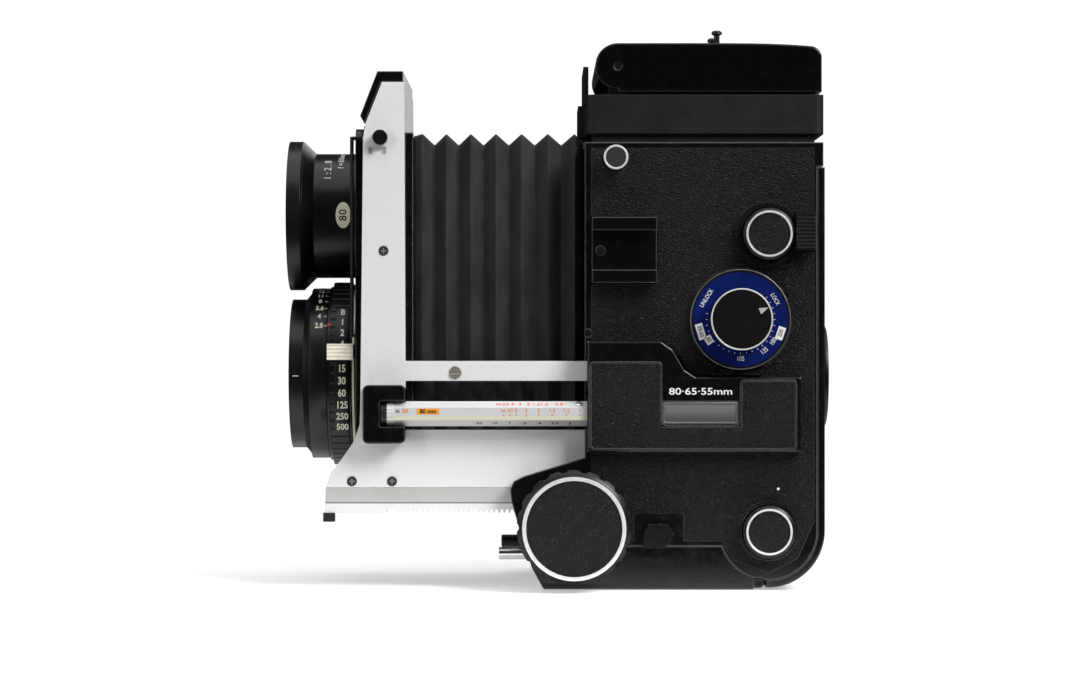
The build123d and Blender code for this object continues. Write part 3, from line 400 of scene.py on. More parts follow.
def ground_glass():
    """Focusing screen: fine fresnel rings and a ruled grid under a matt surface, painted brighter in the
    middle as a pool of light.
    """
    board = Board("ground_glass", Specular_IOR_Level=0.5)
    across, along = board.split(board.place(middle("focusing_screen")))[:2]
    rings = (board.radius("focusing_screen", "Z") * 12.0).wave()
    rules = 0.0
    for part in (across, along):
        for offset in (-14.0, 0.0, 14.0):
            rules = abs(part - offset).fall(0.05, 0.12).most(rules)
    # painted light: the screen is painted brighter towards its middle
    glow = board.radius("focusing_screen", "Z").fall(6.0, 40.0)
    tone = board.mix(glow, rgb(0.26, 0.27, 0.27), rgb(0.62, 0.64, 0.62))
    tone = board.mix(rules * 0.8, tone, rgb(0.05, 0.05, 0.05))
    return board.finish(Base_Color=tone, Roughness=0.35 + 0.1 * rings, Normal=board.bump(rings, 0.01))


def mirror_silver():
    board = Board("mirror_silver", Metallic=1.0)
    bloom = board.noise(board.place(), 0.15, 5.0, 0.7).rise(0.62, 0.8)
    tone = board.mix(bloom, rgb(0.90, 0.90, 0.91), rgb(0.70, 0.68, 0.62))
    return board.finish(Base_Color=tone, Roughness=0.02 + 0.12 * bloom)


def dial_enamel():
    """Focal-length dial: blue enamel with a dark line inside the rim."""
    board = Board("dial_enamel", Specular_IOR_Level=0.25, Coat_Weight=0.05, Coat_Roughness=0.15)
    reach = board.radius("dial_plate", "X")
    cloud = board.noise(board.place(), 0.3, 4.0)
    blue = board.mix(cloud, rgb(0.0, 0.006, 0.085), rgb(0.0, 0.010, 0.13))
    tone = board.mix(reach.rise(14.35, 14.45), blue, rgb(0.004, 0.004, 0.005))
    return board.finish(Base_Color=tone, Roughness=0.34 + 0.12 * cloud, Normal=board.rounded(0.2))


def scale_enamel():
    """Distance-scale bar: silver and cream facets, each of its own finish, with the lower part painted
    darker as shade.
    """
    board = Board("scale_enamel", Specular_IOR_Level=0.5)
    across, along, up = board.split(board.place(middle("scale_bar")))
    knob = along.fall(-30.6, -30.4)
    facet = across.rise(3.1, 3.2)
    strip = up.fall(-0.75, -0.65) * facet
    lower_facet_shade = up.fall(-1.95, -1.85)
    brush = board.noise(board.place((0, 0, 0), (1.0, 0.04, 3.0)), 2.5, 3.0, 0.6)
    tone = board.mix(brush, rgb(0.68, 0.68, 0.69), rgb(0.80, 0.80, 0.81))
    tone = board.mix(strip, tone, rgb(0.80, 0.79, 0.58))
    # painted shade: the lower part of the bar is painted darker grey
    tone = board.mix(lower_facet_shade * 0.6, tone, rgb(0.45, 0.45, 0.42))
    tone = board.mix(knob, tone, rgb(0.012, 0.012, 0.013))
    return board.finish(Base_Color=tone, Metallic=0.25 * (1 - knob), Roughness=0.34 + 0.1 * brush,
                        Normal=board.rounded(0.12))


def plate_screws():
    """Blackened cross-head screws of the carriage, and the nickelled slotted one on its arm."""
    cross_heads = ((-81.5, 103.6), (-91.2, 32.9), (-78.9, 32.9))
    board = Board("plate_screws", Metallic=0.8)
    along, up = board.split(board.place())[1:]
    nickel = along.rise(-66.0, -64.0)
    cross = 0.0
    for screw_y, screw_z in cross_heads:
        side, rise = abs(along - screw_y), abs(up - screw_z)
        bars = side.least(rise).fall(0.16, 0.24) * side.most(rise).fall(0.85, 0.95)
        cross = bars.most(cross)
    shade = board.mix(cross, rgb(0.09, 0.09, 0.095), rgb(0.42, 0.42, 0.43))
    tone = board.mix(nickel, shade, rgb(0.72, 0.68, 0.60))
    return board.finish(Base_Color=tone, Roughness=0.40 - 0.15 * nickel,
                        Normal=board.bump(1 - cross, 0.12, board.rounded(0.2)))


def paint(name, colour):
    """Filling paint of figures and marks, a little uneven."""
    board = Board(name, Specular_IOR_Level=0.4)
    patch = board.noise(board.place(), 2.0, 3.0)
    tone = board.mix(patch.rise(0.35, 0.8) * 0.35, rgb(*colour), rgb(*(0.72 * c for c in colour)))
    return board.finish(Base_Color=tone, Roughness=0.45 + 0.1 * patch)


ENAMEL = enamel("black_enamel", (0.0020, 0.0020, 0.0023), 0.17, 0.006, -0.04, 0.55, 0.85)
WORN_ENAMEL = enamel("worn_enamel", (0.0020, 0.0020, 0.0023), 0.14, 0.004, 0.0, 0.5, 0.5)
HOOD_ENAMEL = enamel("hood_enamel", (0.0012, 0.0012, 0.0014), 0.11, 0.003, -0.02, 1.2, 0.45)
INNER_BLACK = dull_black()
LEATHER = leather("body_leather", 1.25)
CLOTH = bellows_cloth()
SILVER = silver_enamel()
MILLED = machined_metal()
CHROME = bare_metal("bright_chrome", (0.80, 0.80, 0.79), 0.10, 0.006)
RING_METAL = bare_metal("turned_ring", (0.90, 0.89, 0.86), 0.24, 0.012, 0.35)
STEEL = bare_metal("turned_steel", (0.48, 0.47, 0.45), 0.28, 0.015)
BRASS = bare_metal("machined_brass", (0.66, 0.48, 0.22), 0.30, 0.015)
ANODISED = anodised("black_anodised", 0.03)
BLACK_SCREW = anodised("black_screw", 0.25)
LENS_BLACK = lens_black()
WHITE = paint("figure_white", (0.95, 0.94, 0.90))
CREAM = paint("figure_cream", (0.95, 0.90, 0.72))
GREY = paint("pointer_grey", (0.45, 0.45, 0.44))
ORANGE = paint("figure_orange", (0.80, 0.24, 0.03))
AMBER = paint("badge_amber", (0.88, 0.36, 0.02))
RED = paint("index_red", (0.80, 0.10, 0.03))
BLUE = paint("figure_blue", (0.01, 0.02, 0.16))
BLACK = paint("figure_black", (0.012, 0.012, 0.012))
VIEW_GLASS = coated_glass("viewing_coating", (0.96, 0.97, 0.98), (0.75, 0.55, 1.0))

SLOT_FINISH = {
    "black_enamel": ENAMEL, "gloss_black": WORN_ENAMEL, "leather": LEATHER, "bellows_cloth": CLOTH,
    "silver_enamel": SILVER, "machined_metal": MILLED, "bright_chrome": CHROME,
    "black_anodised": ANODISED, "dull_black": INNER_BLACK, "brass": BRASS, "steel": STEEL,
    "lens_glass": VIEW_GLASS, "silvered_mirror": mirror_silver(),
}
NODE_FINISH = {
    "hood_base": wrinkle_enamel(), "hood_lid": HOOD_ENAMEL, "dial_plate": dial_enamel(),
    "scale_bar": scale_enamel(), "scale_window": window_glass(), "focusing_screen": ground_glass(),
    "hinge_pins": ANODISED, "focus_lock": anodised("lever_grey", 0.10),
    "carriage_screws": plate_screws(), "lens_panel": ENAMEL, "viewing_barrel": LENS_BLACK,
    "taking_front_ring": LENS_BLACK, "shutter_housing": LENS_BLACK, "aperture_ring": LENS_BLACK,
    "speed_ring": LENS_BLACK, "lid_studs": BLACK_SCREW, "body_screws": BLACK_SCREW,
    "cocking_lever": bare_metal("ivory_nickel", (0.93, 0.88, 0.74), 0.34, 0.02, 0.15),
    "taking_glass": coated_glass("taking_coating", (0.97, 0.96, 0.94), (1.0, 0.72, 0.45)),
}


def paint_cad_nodes():
    """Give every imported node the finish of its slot, or its own."""
    for part in frame["record"]["subparts"]:
        node = frame["nodes"][part["node"]]
        finish = NODE_FINISH.get(part["node"], SLOT_FINISH[part["material_slot"]])
        if not node.material_slots:
            node.data.materials.append(finish)
        for slot in node.material_slots:
            slot.material = finish


# ---------------------------------------------------------------- modelling helpers


def settle(name):
    """Name the active piece and put its place and turn into its mesh."""
    piece = bpy.context.object
    piece.name = name
    bpy.ops.object.transform_apply(location=True, rotation=True, scale=True)
    return piece


def disc(name, centre, radius, thick, axis, sides=96, ends="NGON"):
    bpy.ops.object.select_all(action="DESELECT")
    bpy.ops.mesh.primitive_cylinder_add(vertices=sides, radius=radius * MM, depth=thick * MM,
                                        end_fill_type=ends, location=Vector(centre) * MM,
                                        rotation=AXIS_TURN[axis])
    return settle(name)


def edit(piece, kind, test):
    """Open a piece in edit mode with only the faces, edges or corners that pass the test selected."""
    bpy.ops.object.select_all(action="DESELECT")
    piece.select_set(True)
    bpy.context.view_layer.objects.active = piece
    bpy.ops.object.mode_set(mode="EDIT")
    bpy.ops.mesh.select_mode(type=kind)
    bpy.ops.mesh.select_all(action="DESELECT")
    mesh = bmesh.from_edit_mesh(piece.data)
    for part in {"FACE": mesh.faces, "EDGE": mesh.edges, "VERT": mesh.verts}[kind]:
        if test(part):
            part.select_set(True)
    mesh.select_flush_mode()
    bmesh.update_edit_mesh(piece.data)


def everything(part):
    return True


def end_cap(part):
    return len(part.verts) > 4


def close_edit():
    """Turn all faces outwards and leave edit mode."""
    bpy.ops.mesh.select_all(action="SELECT")
    bpy.ops.mesh.normals_make_consistent(inside=False)
    bpy.ops.object.mode_set(mode="OBJECT")


def apply(piece, kind, **settings):
    """Add one modifier to the piece and apply it."""
    bpy.context.view_layer.objects.active = piece
    modifier = piece.modifiers.new(kind.lower(), kind)
    for setting, value in settings.items():
        setattr(modifier, setting, value)
    bpy.ops.object.modifier_apply(modifier=modifier.name)


def hand_over(piece, body, finish, edge=0.0):
    """Round the edges of a piece, shade and paint it, and let it ride on its body."""
    bpy.ops.object.select_all(action="DESELECT")
    piece.select_set(True)
    bpy.context.view_layer.objects.active = piece
    if edge:
        apply(piece, "BEVEL", width=edge * MM, segments=2, limit_method="ANGLE",
              angle_limit=math.radians(35))
    bpy.ops.object.shade_smooth_by_angle(angle=math.radians(40))
    piece.data.materials.clear()
    piece.data.materials.append(finish)
    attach(piece, body)


def ring(name, centre, outer, inner, thick, axis):
    """Flat ring: the two ends of a disc are inset and bridged."""
    piece = disc(name, centre, outer, thick, axis)
    edit(piece, "FACE", end_cap)
    bpy.ops.mesh.inset(thickness=(outer - inner) * MM)
    bpy.ops.mesh.bridge_edge_loops()
    close_edit()
    return piece


def onto(origin, right, up):
    """Matrix that lays a drawing in millimetres onto a surface."""
    right, up = right.normalized(), up.normalized()
    turn = Matrix((right, up, right.cross(up))).transposed().to_4x4()
    return Matrix.Translation(Vector(origin) * MM) @ turn @ Matrix.Scale(MM, 4)


def plate(name, corners, thick, origin, directions, corner=0.0):
    """Thin plate of a drawn outline, its back at the origin, with rounded corners."""
    bpy.ops.object.select_all(action="DESELECT")
    bpy.ops.mesh.primitive_circle_add(vertices=len(corners), fill_type="NGON")
    piece = settle(name)
    for vertex, (across, up) in zip(piece.data.vertices, corners):
        vertex.co = (across, up, 0)
    edit(piece, "VERT", everything)
    if corner:
        bpy.ops.mesh.bevel(offset=corner, segments=4, affect="VERTICES")
        bpy.ops.mesh.select_all(action="SELECT")
    bpy.ops.mesh.extrude_region_move(TRANSFORM_OT_translate={"value": (0, 0, thick)})
    close_edit()
    piece.data.transform(onto(origin, *directions))
    return piece


def box_corners(x0, x1, y0, y1):
    return [(x0, y0), (x1, y0), (x1, y1), (x0, y1)]


def stamp(words, height, origin, right, up, weight=0.02, width=1.0):
    """Figures of a given height, drawn out in width, a little proud of the surface."""
    bpy.ops.object.select_all(action="DESELECT")
    bpy.ops.object.text_add()
    text = bpy.context.object
    text.data.body = words
    text.data.size = height / 0.72
    text.data.extrude = PROUD
    text.data.offset = weight
    text.data.resolution_u = 3
    text.data.align_x = "CENTER"
    text.data.align_y = "CENTER"
    bpy.ops.object.convert(target="MESH")
    text = bpy.context.object
    text.data.transform(onto(origin, right, up) @ Matrix.Diagonal((width, 1, 1, 1)))
    return text


def joined(name, pieces):
    bpy.ops.object.select_all(action="DESELECT")
    for piece in pieces:
        piece.select_set(True)
    bpy.context.view_layer.objects.active = pieces[0]
    bpy.ops.object.join()
    pieces[0].name = name
    pieces[0].data.name = name
    return pieces[0]


def about_x(node, radius, degrees, height):
    """Point on a circle round a node's X axis; the angle runs from +Y towards +Z."""
    centre, angle = middle(node), math.radians(degrees)
    return Vector((height, centre.y + radius * math.cos(angle), centre.z + radius * math.sin(angle)))


def dial_directions(degrees):
    """Outward and onward directions on the dial; the angle runs from +Y towards +Z."""
    angle = math.radians(degrees)
    outward = Y * math.cos(angle) + Z * math.sin(angle)
    onward = Z * math.cos(angle) - Y * math.sin(angle)
    return outward, onward


def lens_directions(degrees):
    """Outward and upward directions on a lens ring; the angle runs from +X towards +Z."""
    angle = math.radians(degrees)
    outward = Vector((math.cos(angle), 0, math.sin(angle)))
    onward = Vector((-math.sin(angle), 0, math.cos(angle)))
    return outward, onward


def lens_axis(node, along):
    centre = middle(node)
    return Vector((centre.x, along, centre.z))


# ---------------------------------------------------------------- bellows


def make_bellows():
    """Pleated bellows: one outline extruded from valley to crest to valley, then given its thickness."""
    corner_low, corner_high = low("bellows"), high("bellows")
    pleats = 7
    depth = 3.4
    first_crest = corner_low.y + 2.7
    last_crest = corner_high.y - 2.9
    mean_gap = (last_crest - first_crest) / (pleats - 1)
    crests = [first_crest]
    for i in range(pleats - 1):
        crests.append(crests[-1] + mean_gap + 0.18 * (i - (pleats - 2) / 2))
    folds = [(corner_low.y, 0.8)]
    for i, crest in enumerate(crests):
        folds.append((crest, 0.0))
        valley = (crest + crests[i + 1]) / 2 if i + 1 < pleats else corner_high.y
        folds.append((valley, depth))
    wide, tall = corner_high.x - corner_low.x, corner_high.z - corner_low.z
    centre = (corner_low + corner_high) / 2

    def outline(inset):
        return wide - 2 * inset, tall - 2 * inset

    bpy.ops.object.select_all(action="DESELECT")
    start = Vector((centre.x, folds[0][0], centre.z)) * MM
    bpy.ops.mesh.primitive_plane_add(size=MM, location=start, rotation=(math.pi / 2, 0, 0))
    piece = settle("pleated_bellows")
    edit(piece, "VERT", everything)
    width, height = outline(folds[0][1])
    bpy.ops.transform.resize(value=(width, 1, height), center_override=start)
    bpy.ops.mesh.bevel(offset=2.2 * MM, segments=2, affect="VERTICES")
    bpy.ops.mesh.select_all(action="SELECT")
    bpy.ops.mesh.delete(type="ONLY_FACE")
    bpy.ops.mesh.select_all(action="SELECT")
    for (y, inset), (next_y, next_inset) in zip(folds, folds[1:]):
        bpy.ops.mesh.extrude_edges_move(TRANSFORM_OT_translate={"value": (0, (next_y - y) * MM, 0)})
        (width, height), (next_width, next_height) = outline(inset), outline(next_inset)
        pivot = Vector((centre.x, next_y, centre.z)) * MM
        bpy.ops.transform.resize(value=(next_width / width, 1, next_height / height),
                                 center_override=pivot)
    close_edit()
    apply(piece, "SOLIDIFY", thickness=0.7 * MM, offset=-1.0)
    apply(piece, "BEVEL", width=0.5 * MM, segments=3, limit_method="ANGLE",
          angle_limit=math.radians(30))
    hand_over(piece, "camera_body", CLOTH)
    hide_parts("bellows")
    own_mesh(piece)


# ---------------------------------------------------------------- knobs and dials


def make_knob_face(name, node, body, side, rim_outer, rim_inner, top):
    """Bright ring and leather disc in the end of a knob."""
    centre = middle(node)
    rim_place = (side * (top + 0.05), centre.y, centre.z)
    rim = ring(f"{name}_ring", rim_place, rim_outer, rim_inner, 0.5, "X")
    hand_over(rim, body, RING_METAL, edge=0.12)
    pad = disc(f"{name}_leather", (side * (top - 0.25), centre.y, centre.z), rim_inner - 0.15, 0.5, "X")
    edit(pad, "FACE", lambda face: end_cap(face) and face.normal.x * side > 0.5)
    bpy.ops.mesh.inset(thickness=0.7 * MM)
    bpy.ops.transform.translate(value=(side * 0.12 * MM, 0, 0))
    close_edit()
    hand_over(pad, body, LEATHER, edge=0.08)


def make_knob_faces():
    top = high("focus_knobs").x
    for side, name in ((1, "left_focus"), (-1, "right_focus")):
        make_knob_face(name, "focus_knobs", "focus_drive", side, 15.65, 14.45, top)
    for name in ("upper_spool", "lower_spool"):
        node = f"{name}_knob"
        make_knob_face(name, node, node, 1, 7.05, 6.4, high(node).x)


def make_dial():
    """Rim, figures and pointer of the focal-length dial, and a pale ring on the selector knob painted as
    its edge highlight.
    """
    top = high("dial_plate").x
    centre = middle("dial_plate")
    rim = ring("dial_rim", (top, centre.y, centre.z), 15.35, 14.95, 0.3, "X")
    hand_over(rim, "camera_body", STEEL, edge=0.08)
    knob_top = high("selector_knob").x
    # painted highlight: a pale metal ring stands in for the light caught by the selector knob's edge
    knob_highlight_ring = ring("selector_rim_highlight", (knob_top, centre.y, centre.z), 9.4, 8.95, 0.3, "X")
    hand_over(knob_highlight_ring, "selector_knob", RING_METAL, edge=0.1)

    def on_dial(words, height, reach, degrees, tops_out):
        outward, onward = dial_directions(degrees)
        right, up = (-onward, outward) if tops_out else (onward, -outward)
        place = about_x("dial_plate", reach, degrees, top + 0.03)
        return stamp(words, height, place, right, up, 0.0, width=0.8)

    figures = []
    for words, degrees in (("LOCK", 30), ("UNLOCK", 148)):
        figures.append(on_dial(words, 1.35, 12.2, degrees, True))
    for words, degrees in (("180", -34), ("135", -53), ("105", -90)):
        figures.append(on_dial(words, 1.5, 12.0, degrees, False))
    hand_over(joined("dial_figures", figures), "camera_body", WHITE)

    boxes = []
    box_marks = []
    for words, degrees, reach, half_wide in (("250", -19, 12.9, 2.0), ("55-65", -163, 12.7, 2.5),
                                             ("80", -147, 11.5, 1.3)):
        outward, onward = dial_directions(degrees)
        place = about_x("dial_plate", reach, degrees, top)
        corners = box_corners(-half_wide, half_wide, -1.15, 1.15)
        boxes.append(plate("box", corners, 0.05, place, (onward, -outward)))
        box_marks.append(stamp(words, 1.3, place + X * 0.06, onward, -outward, 0.01, width=0.85))
    for degrees in range(170, 410, 10):
        outward, onward = dial_directions(degrees)
        place = about_x("dial_plate", 10.35, degrees, top)
        boxes.append(plate("tick", box_corners(-0.07, 0.07, -0.3, 0.3), 0.04, place, (onward, -outward)))
    hand_over(joined("dial_boxes", boxes), "camera_body", WHITE)
    hand_over(joined("dial_box_figures", box_marks), "camera_body", BLUE)

    outward, onward = dial_directions(24)
    pointer = plate("dial_pointer", [(-1.0, 5.9), (1.0, 5.9), (0.0, 8.8)], 0.05,
                    (knob_top, centre.y, centre.z), (-onward, outward))
    hand_over(pointer, "selector_knob", GREY)


# ---------------------------------------------------------------- distance scale


def make_scale_housing():
    """Leather inlay and figures of the distance-scale housing."""
    face = high("scale_housing").x
    outline = [(-17.8, 43.4), (43.9, 43.4), (43.9, 63.4), (28.1, 63.4), (28.1, 49.5), (2.9, 49.5),
               (2.9, 68.9), (-17.8, 68.9)]
    rim = [(-18.6, 42.6), (44.7, 42.6), (44.7, 64.2), (27.3, 64.2), (27.3, 50.3), (3.7, 50.3),
           (3.7, 69.7), (-18.6, 69.7)]
    surround = plate("housing_rim", rim, 0.42, (face - 0.05, 0, 0), LEFT, 1.4)
    cutter = plate("cutter", outline, 3.0, (face - 1.5, 0, 0), LEFT, 0.9)
    apply(surround, "BOOLEAN", object=cutter, operation="DIFFERENCE")
    bpy.data.objects.remove(cutter)
    hand_over(surround, "camera_body", ENAMEL, edge=0.18)
    inlay = plate("housing_leather", outline, 0.25, (face - 0.05, 0, 0), LEFT, 0.8)
    hand_over(inlay, "camera_body", LEATHER, edge=0.10)

    window_low, window_high = low("scale_window"), high("scale_window")
    y0, y1, z0, z1 = window_low.y, window_high.y, window_low.z, window_high.z
    sash = plate("window_sash", box_corners(y0, y1, z0, z1), 0.5, (window_high.x - 0.1, 0, 0), LEFT, 0.4)
    opening = box_corners(y0 + 0.45, y1 - 0.35, z0 + 0.35, z1 - 0.45)
    cutter = plate("cutter", opening, 3.0, (window_high.x - 1.5, 0, 0), LEFT, 0.3)
    apply(sash, "BOOLEAN", object=cutter, operation="DIFFERENCE")
    bpy.data.objects.remove(cutter)
    hand_over(sash, "camera_body", STEEL, edge=0.12)
    words = stamp("80·65·55mm", 2.1, (face + 0.02, 15.4, 60.5), *LEFT, weight=0.03, width=1.32)
    words.name = "housing_figures"
    hand_over(words, "camera_body", WHITE)


def make_scale_figures():
    """Figures on two facets of the distance-scale bar, with its badge and end screw."""
    centre = middle("scale_bar")
    half_flat = 3.3
    face_x = centre.x + half_flat
    amber, red, black = [], [], []
    distances = (("∞", -44.6), ("10", -42.6), ("5", -40.8), ("3", -37.7), ("2", -33.9),
                 ("1.5", -29.8), ("1.2", -25.5), ("1", -21.3))
    for words, y in distances:
        amber.append(stamp(words, 1.25, (face_x + 0.02, y, centre.z + 0.95), *LEFT, weight=0.01))
        mark = [(-0.3, -0.55), (0.3, -0.55), (0.0, 0.05)]
        amber.append(plate("mark", mark, PROUD, (face_x, y, centre.z), LEFT))
    amber.append(stamp("80", 1.35, (face_x + 0.02, -74.6, centre.z + 0.85), *LEFT))
    black.append(stamp("m", 1.2, (face_x + 0.02, -76.9, centre.z + 0.85), *LEFT))
    badge = plate("scale_badge", box_corners(-71.0, -64.2, -0.15, 1.65), 0.05, (face_x, 0, centre.z), LEFT)
    black.append(stamp("80 mm", 1.3, (face_x + 0.06, -67.6, centre.z + 0.75), *LEFT, weight=0.05))

    slope = math.radians(60)
    outward = X * math.cos(slope) + Z * math.sin(slope)
    upward = Z * math.cos(slope) - X * math.sin(slope)
    upper = Vector((centre.x, 0, centre.z)) + outward * (half_flat + 0.02)
    for words, y in (("∞", -46.1), ("20", -44.0), ("5", -41.8), ("3", -39.6), ("2", -37.0),
                     ("1.5", -34.6), ("1.2", -32.2), ("0.8", -27.7)):
        red.append(stamp(words, 1.5, upper + Y * y, Y, upward, 0.01))
    lower_out = X * math.cos(slope) - Z * math.sin(slope)
    lower_up = Z * math.cos(slope) + X * math.sin(slope)
    lower = Vector((centre.x, 0, centre.z)) + lower_out * (half_flat + 0.02)
    for i, words in enumerate(("20", "10", "7", "5", "4", "3.5", "3")):
        black.append(stamp(words, 1.4, lower + Y * (-52 + 4.6 * i), Y, lower_up, 0.01))
    hand_over(joined("scale_amber_figures", amber), "scale_bar", ORANGE)
    hand_over(joined("scale_red_figures", red), "scale_bar", RED)
    hand_over(joined("scale_black_figures", black), "scale_bar", BLACK)
    hand_over(badge, "scale_bar", AMBER)

    screw = disc("scale_end_screw", (0, 0, 0), 1.1, 0.5, "Z", 32)
    edit(screw, "FACE", lambda face: end_cap(face) and face.normal.z > 0.5)
    bpy.ops.mesh.inset(thickness=0.25 * MM)
    bpy.ops.transform.translate(value=(0, 0, 0.12 * MM))
    close_edit()
    screw.data.transform(Matrix.Scale(1 / MM, 4))
    screw.data.transform(onto(upper + Y * -21.6 + outward * 0.15, Y, upward))
    hand_over(screw, "scale_bar", CHROME, edge=0.06)


# ---------------------------------------------------------------- lenses


def ring_band(name, node, body, radius, y0, y1, start, end):
    """Smooth band round part of a control ring, which carries its figures."""
    centre = lens_axis(node, (y0 + y1) / 2)
    piece = disc(name, centre, radius, y1 - y0, "Y", sides=180, ends="NOTHING")

    def outside(face):
        place = face.calc_center_median() / MM - centre
        return not start <= math.degrees(math.atan2(place.z, place.x)) <= end

    edit(piece, "FACE", outside)
    bpy.ops.mesh.delete(type="FACE")
    close_edit()
    apply(piece, "SOLIDIFY", thickness=0.18 * MM, offset=1.0)
    hand_over(piece, body, LENS_BLACK, edge=0.05)


def ring_figures(name, node, body, finish, radius, along, height, figures):
    """Figures that read along the lens, one above another round a ring."""
    made = []
    for words, degrees in figures:
        outward, onward = lens_directions(degrees)
        place = lens_axis(node, along) + outward * (radius + 0.02)
        made.append(stamp(words, height, place, Y, onward, weight=0.08, width=0.78))
    hand_over(joined(name, made), body, finish)


def round_text(words, height, node, radius, along, start, pitch):
    """Letters that run round a barrel, each on its own tangent."""
    made = []
    for i, letter in enumerate(words):
        if letter == " ":
            continue
        outward, onward = lens_directions(start + pitch * i)
        made.append(stamp(letter, height, lens_axis(node, along) + outward * (radius + 0.02), onward, -Y))
    return made


def face_text(words, height, node, radius, along, slope, start, pitch):
    """Letters on the sloping inner face of a front rim, tops outwards."""
    made = []
    for i, letter in enumerate(words):
        if letter == " ":
            continue
        outward = lens_directions(start - pitch * i)[0]
        up = (outward * math.cos(slope) - Y * math.sin(slope)).normalized()
        facing = (-outward * math.sin(slope) - Y * math.cos(slope)).normalized()
        place = lens_axis(node, along) + outward * radius + facing * 0.02
        made.append(stamp(letter, height, place, up.cross(facing), up))
    return made


def make_lens_figures():
    """Speeds, apertures, index marks and rim lettering of the two lenses."""
    speed_step = 7.57
    speeds = ("B", "1", "2", "4", "8", "15", "30", "60", "125", "250", "500")
    ring_band("speed_band", "taking_glass", "speed_ring", 28.9, -97.2, -92.95, -39.5, 46.5)
    ring_figures("speed_figures", "taking_glass", "speed_ring", CREAM, 29.08, -94.9, 2.3,
                 [(words, 41.1 - speed_step * i) for i, words in enumerate(speeds)])
    stops = ("2.8", "4", "5.6", "8", "11", "16", "22", "32")
    ring_band("aperture_band", "taking_glass", "aperture_ring", 26.8, -105.3, -99.8, -80.0, 97.0)
    places = [(words, 33.8 + 7.7 * i) for i, words in enumerate(stops)]
    ring_figures("aperture_figures", "taking_glass", "aperture_ring", CREAM, 26.98, -102.4, 1.95, places)
    ticks = []
    for words, degrees in places:
        outward, onward = lens_directions(degrees)
        place = lens_axis("taking_glass", -100.4) + outward * 26.98
        ticks.append(plate("tick", box_corners(-0.5, 0.4, -0.12, 0.12), PROUD, place, (Y, onward)))
    hand_over(joined("aperture_ticks", ticks), "aperture_ring", WHITE)

    outward, onward = lens_directions(33.8)
    place = lens_axis("taking_glass", -99.15) + outward * 27.5
    slant = [(-0.55, -0.7), (0.45, -0.2), (0.45, 0.75), (-0.55, 0.25)]
    hand_over(plate("aperture_index", slant, 0.08, place, (Y, onward)), "carriage", RED)
    outward, onward = lens_directions(-1.5)
    place = lens_axis("taking_glass", -109.6) + outward * 23.5
    dot = plate("taking_ring_mark", box_corners(-0.9, 0.9, -0.13, 0.13), PROUD, place, (Y, onward))
    hand_over(dot, "carriage", WHITE)

    letters = round_text("1:2.8", 2.3, "viewing_glass", 19.7, -100.0, 35.0, 5.6)
    letters += round_text("f=80mm", 1.9, "viewing_glass", 19.7, -96.0, 48.0, 5.4)
    letters += face_text("1:2.8 f=80mm", 1.8, "viewing_glass", 18.4, -107.36, 0.562, 132, 7.6)
    letters += face_text("1:2.8 f=80mm", 1.8, "taking_glass", 18.0, -107.37, 0.30, 132, 7.6)
    hand_over(joined("lens_lettering", letters), "carriage", WHITE)


def make_lens_badge():
    """Cream oval on the viewing barrel: a short tube cut down to an oval, with a black figure."""
    outward, onward = lens_directions(-1.2)
    along = -95.0
    radius = 19.7
    badge = ring("lens_badge", lens_axis("viewing_glass", along), radius + 0.12, radius - 0.3, 5.4, "Y")
    count = 28
    oval = [(4.1 * math.cos(2 * math.pi * i / count), 2.35 * math.sin(2 * math.pi * i / count))
            for i in range(count)]
    place = lens_axis("viewing_glass", along) + outward * (radius - 2)
    cutter = plate("cutter", oval, 4.0, place, (onward, -Y))
    apply(badge, "BOOLEAN", object=cutter, operation="INTERSECT")
    bpy.data.objects.remove(cutter)
    hand_over(badge, "carriage", CREAM)
    letters = round_text("80", 2.5, "viewing_glass", radius + 0.12, along, -4.0, 5.6)
    hand_over(joined("lens_badge_figure", letters), "carriage", BLACK)


def make_scale_block():
    """Glossy bearing of the distance-scale bar: a rounded block with a notch for the knob."""
    corner_low, corner_high = low("scale_block"), high("scale_block")
    y0, y1, z0, z1 = corner_low.y, corner_high.y, corner_low.z, corner_high.z
    block = plate("bar_bearing", box_corners(y0, y1, z0, z1), corner_high.x - corner_low.x,
                  (corner_low.x, 0, 0), LEFT, 1.7)
    middle_z = middle("scale_bar").z
    notch = box_corners(y0 + 5.3, y1 + 2, middle_z - 3.9, middle_z + 3.9)
    cutter = plate("cutter", notch, 12.0, (corner_low.x + 0.4, 0, 0), LEFT, 0.6)
    apply(block, "BOOLEAN", object=cutter, operation="DIFFERENCE")
    bpy.data.objects.remove(cutter)
    hand_over(block, "carriage", WORN_ENAMEL, edge=0.45)
    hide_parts("scale_block")


def make_shutter_blades():
    """Five shutter blades behind the taking lens: one is modelled, then copied round the axis."""
    centre = lens_axis("taking_glass", -97.0)
    outline = [(-8.5, 3.2), (0.0, 2.0), (8.5, 3.2), (11.0, 8.4), (6.5, 12.4), (-6.5, 12.4),
               (-11.0, 8.4)]
    blades = []
    count = 5
    for i in range(count):
        outward, onward = lens_directions(360 / count * i)
        place = centre + Y * (0.12 * i)
        tilted = (onward + Y * 0.02).normalized()
        blades.append(plate("blade", outline, 0.08, place, (-tilted, outward), 0.6))
    hand_over(joined("shutter_blades", blades), "carriage", STEEL, edge=0.02)


# ---------------------------------------------------------------- back and right side


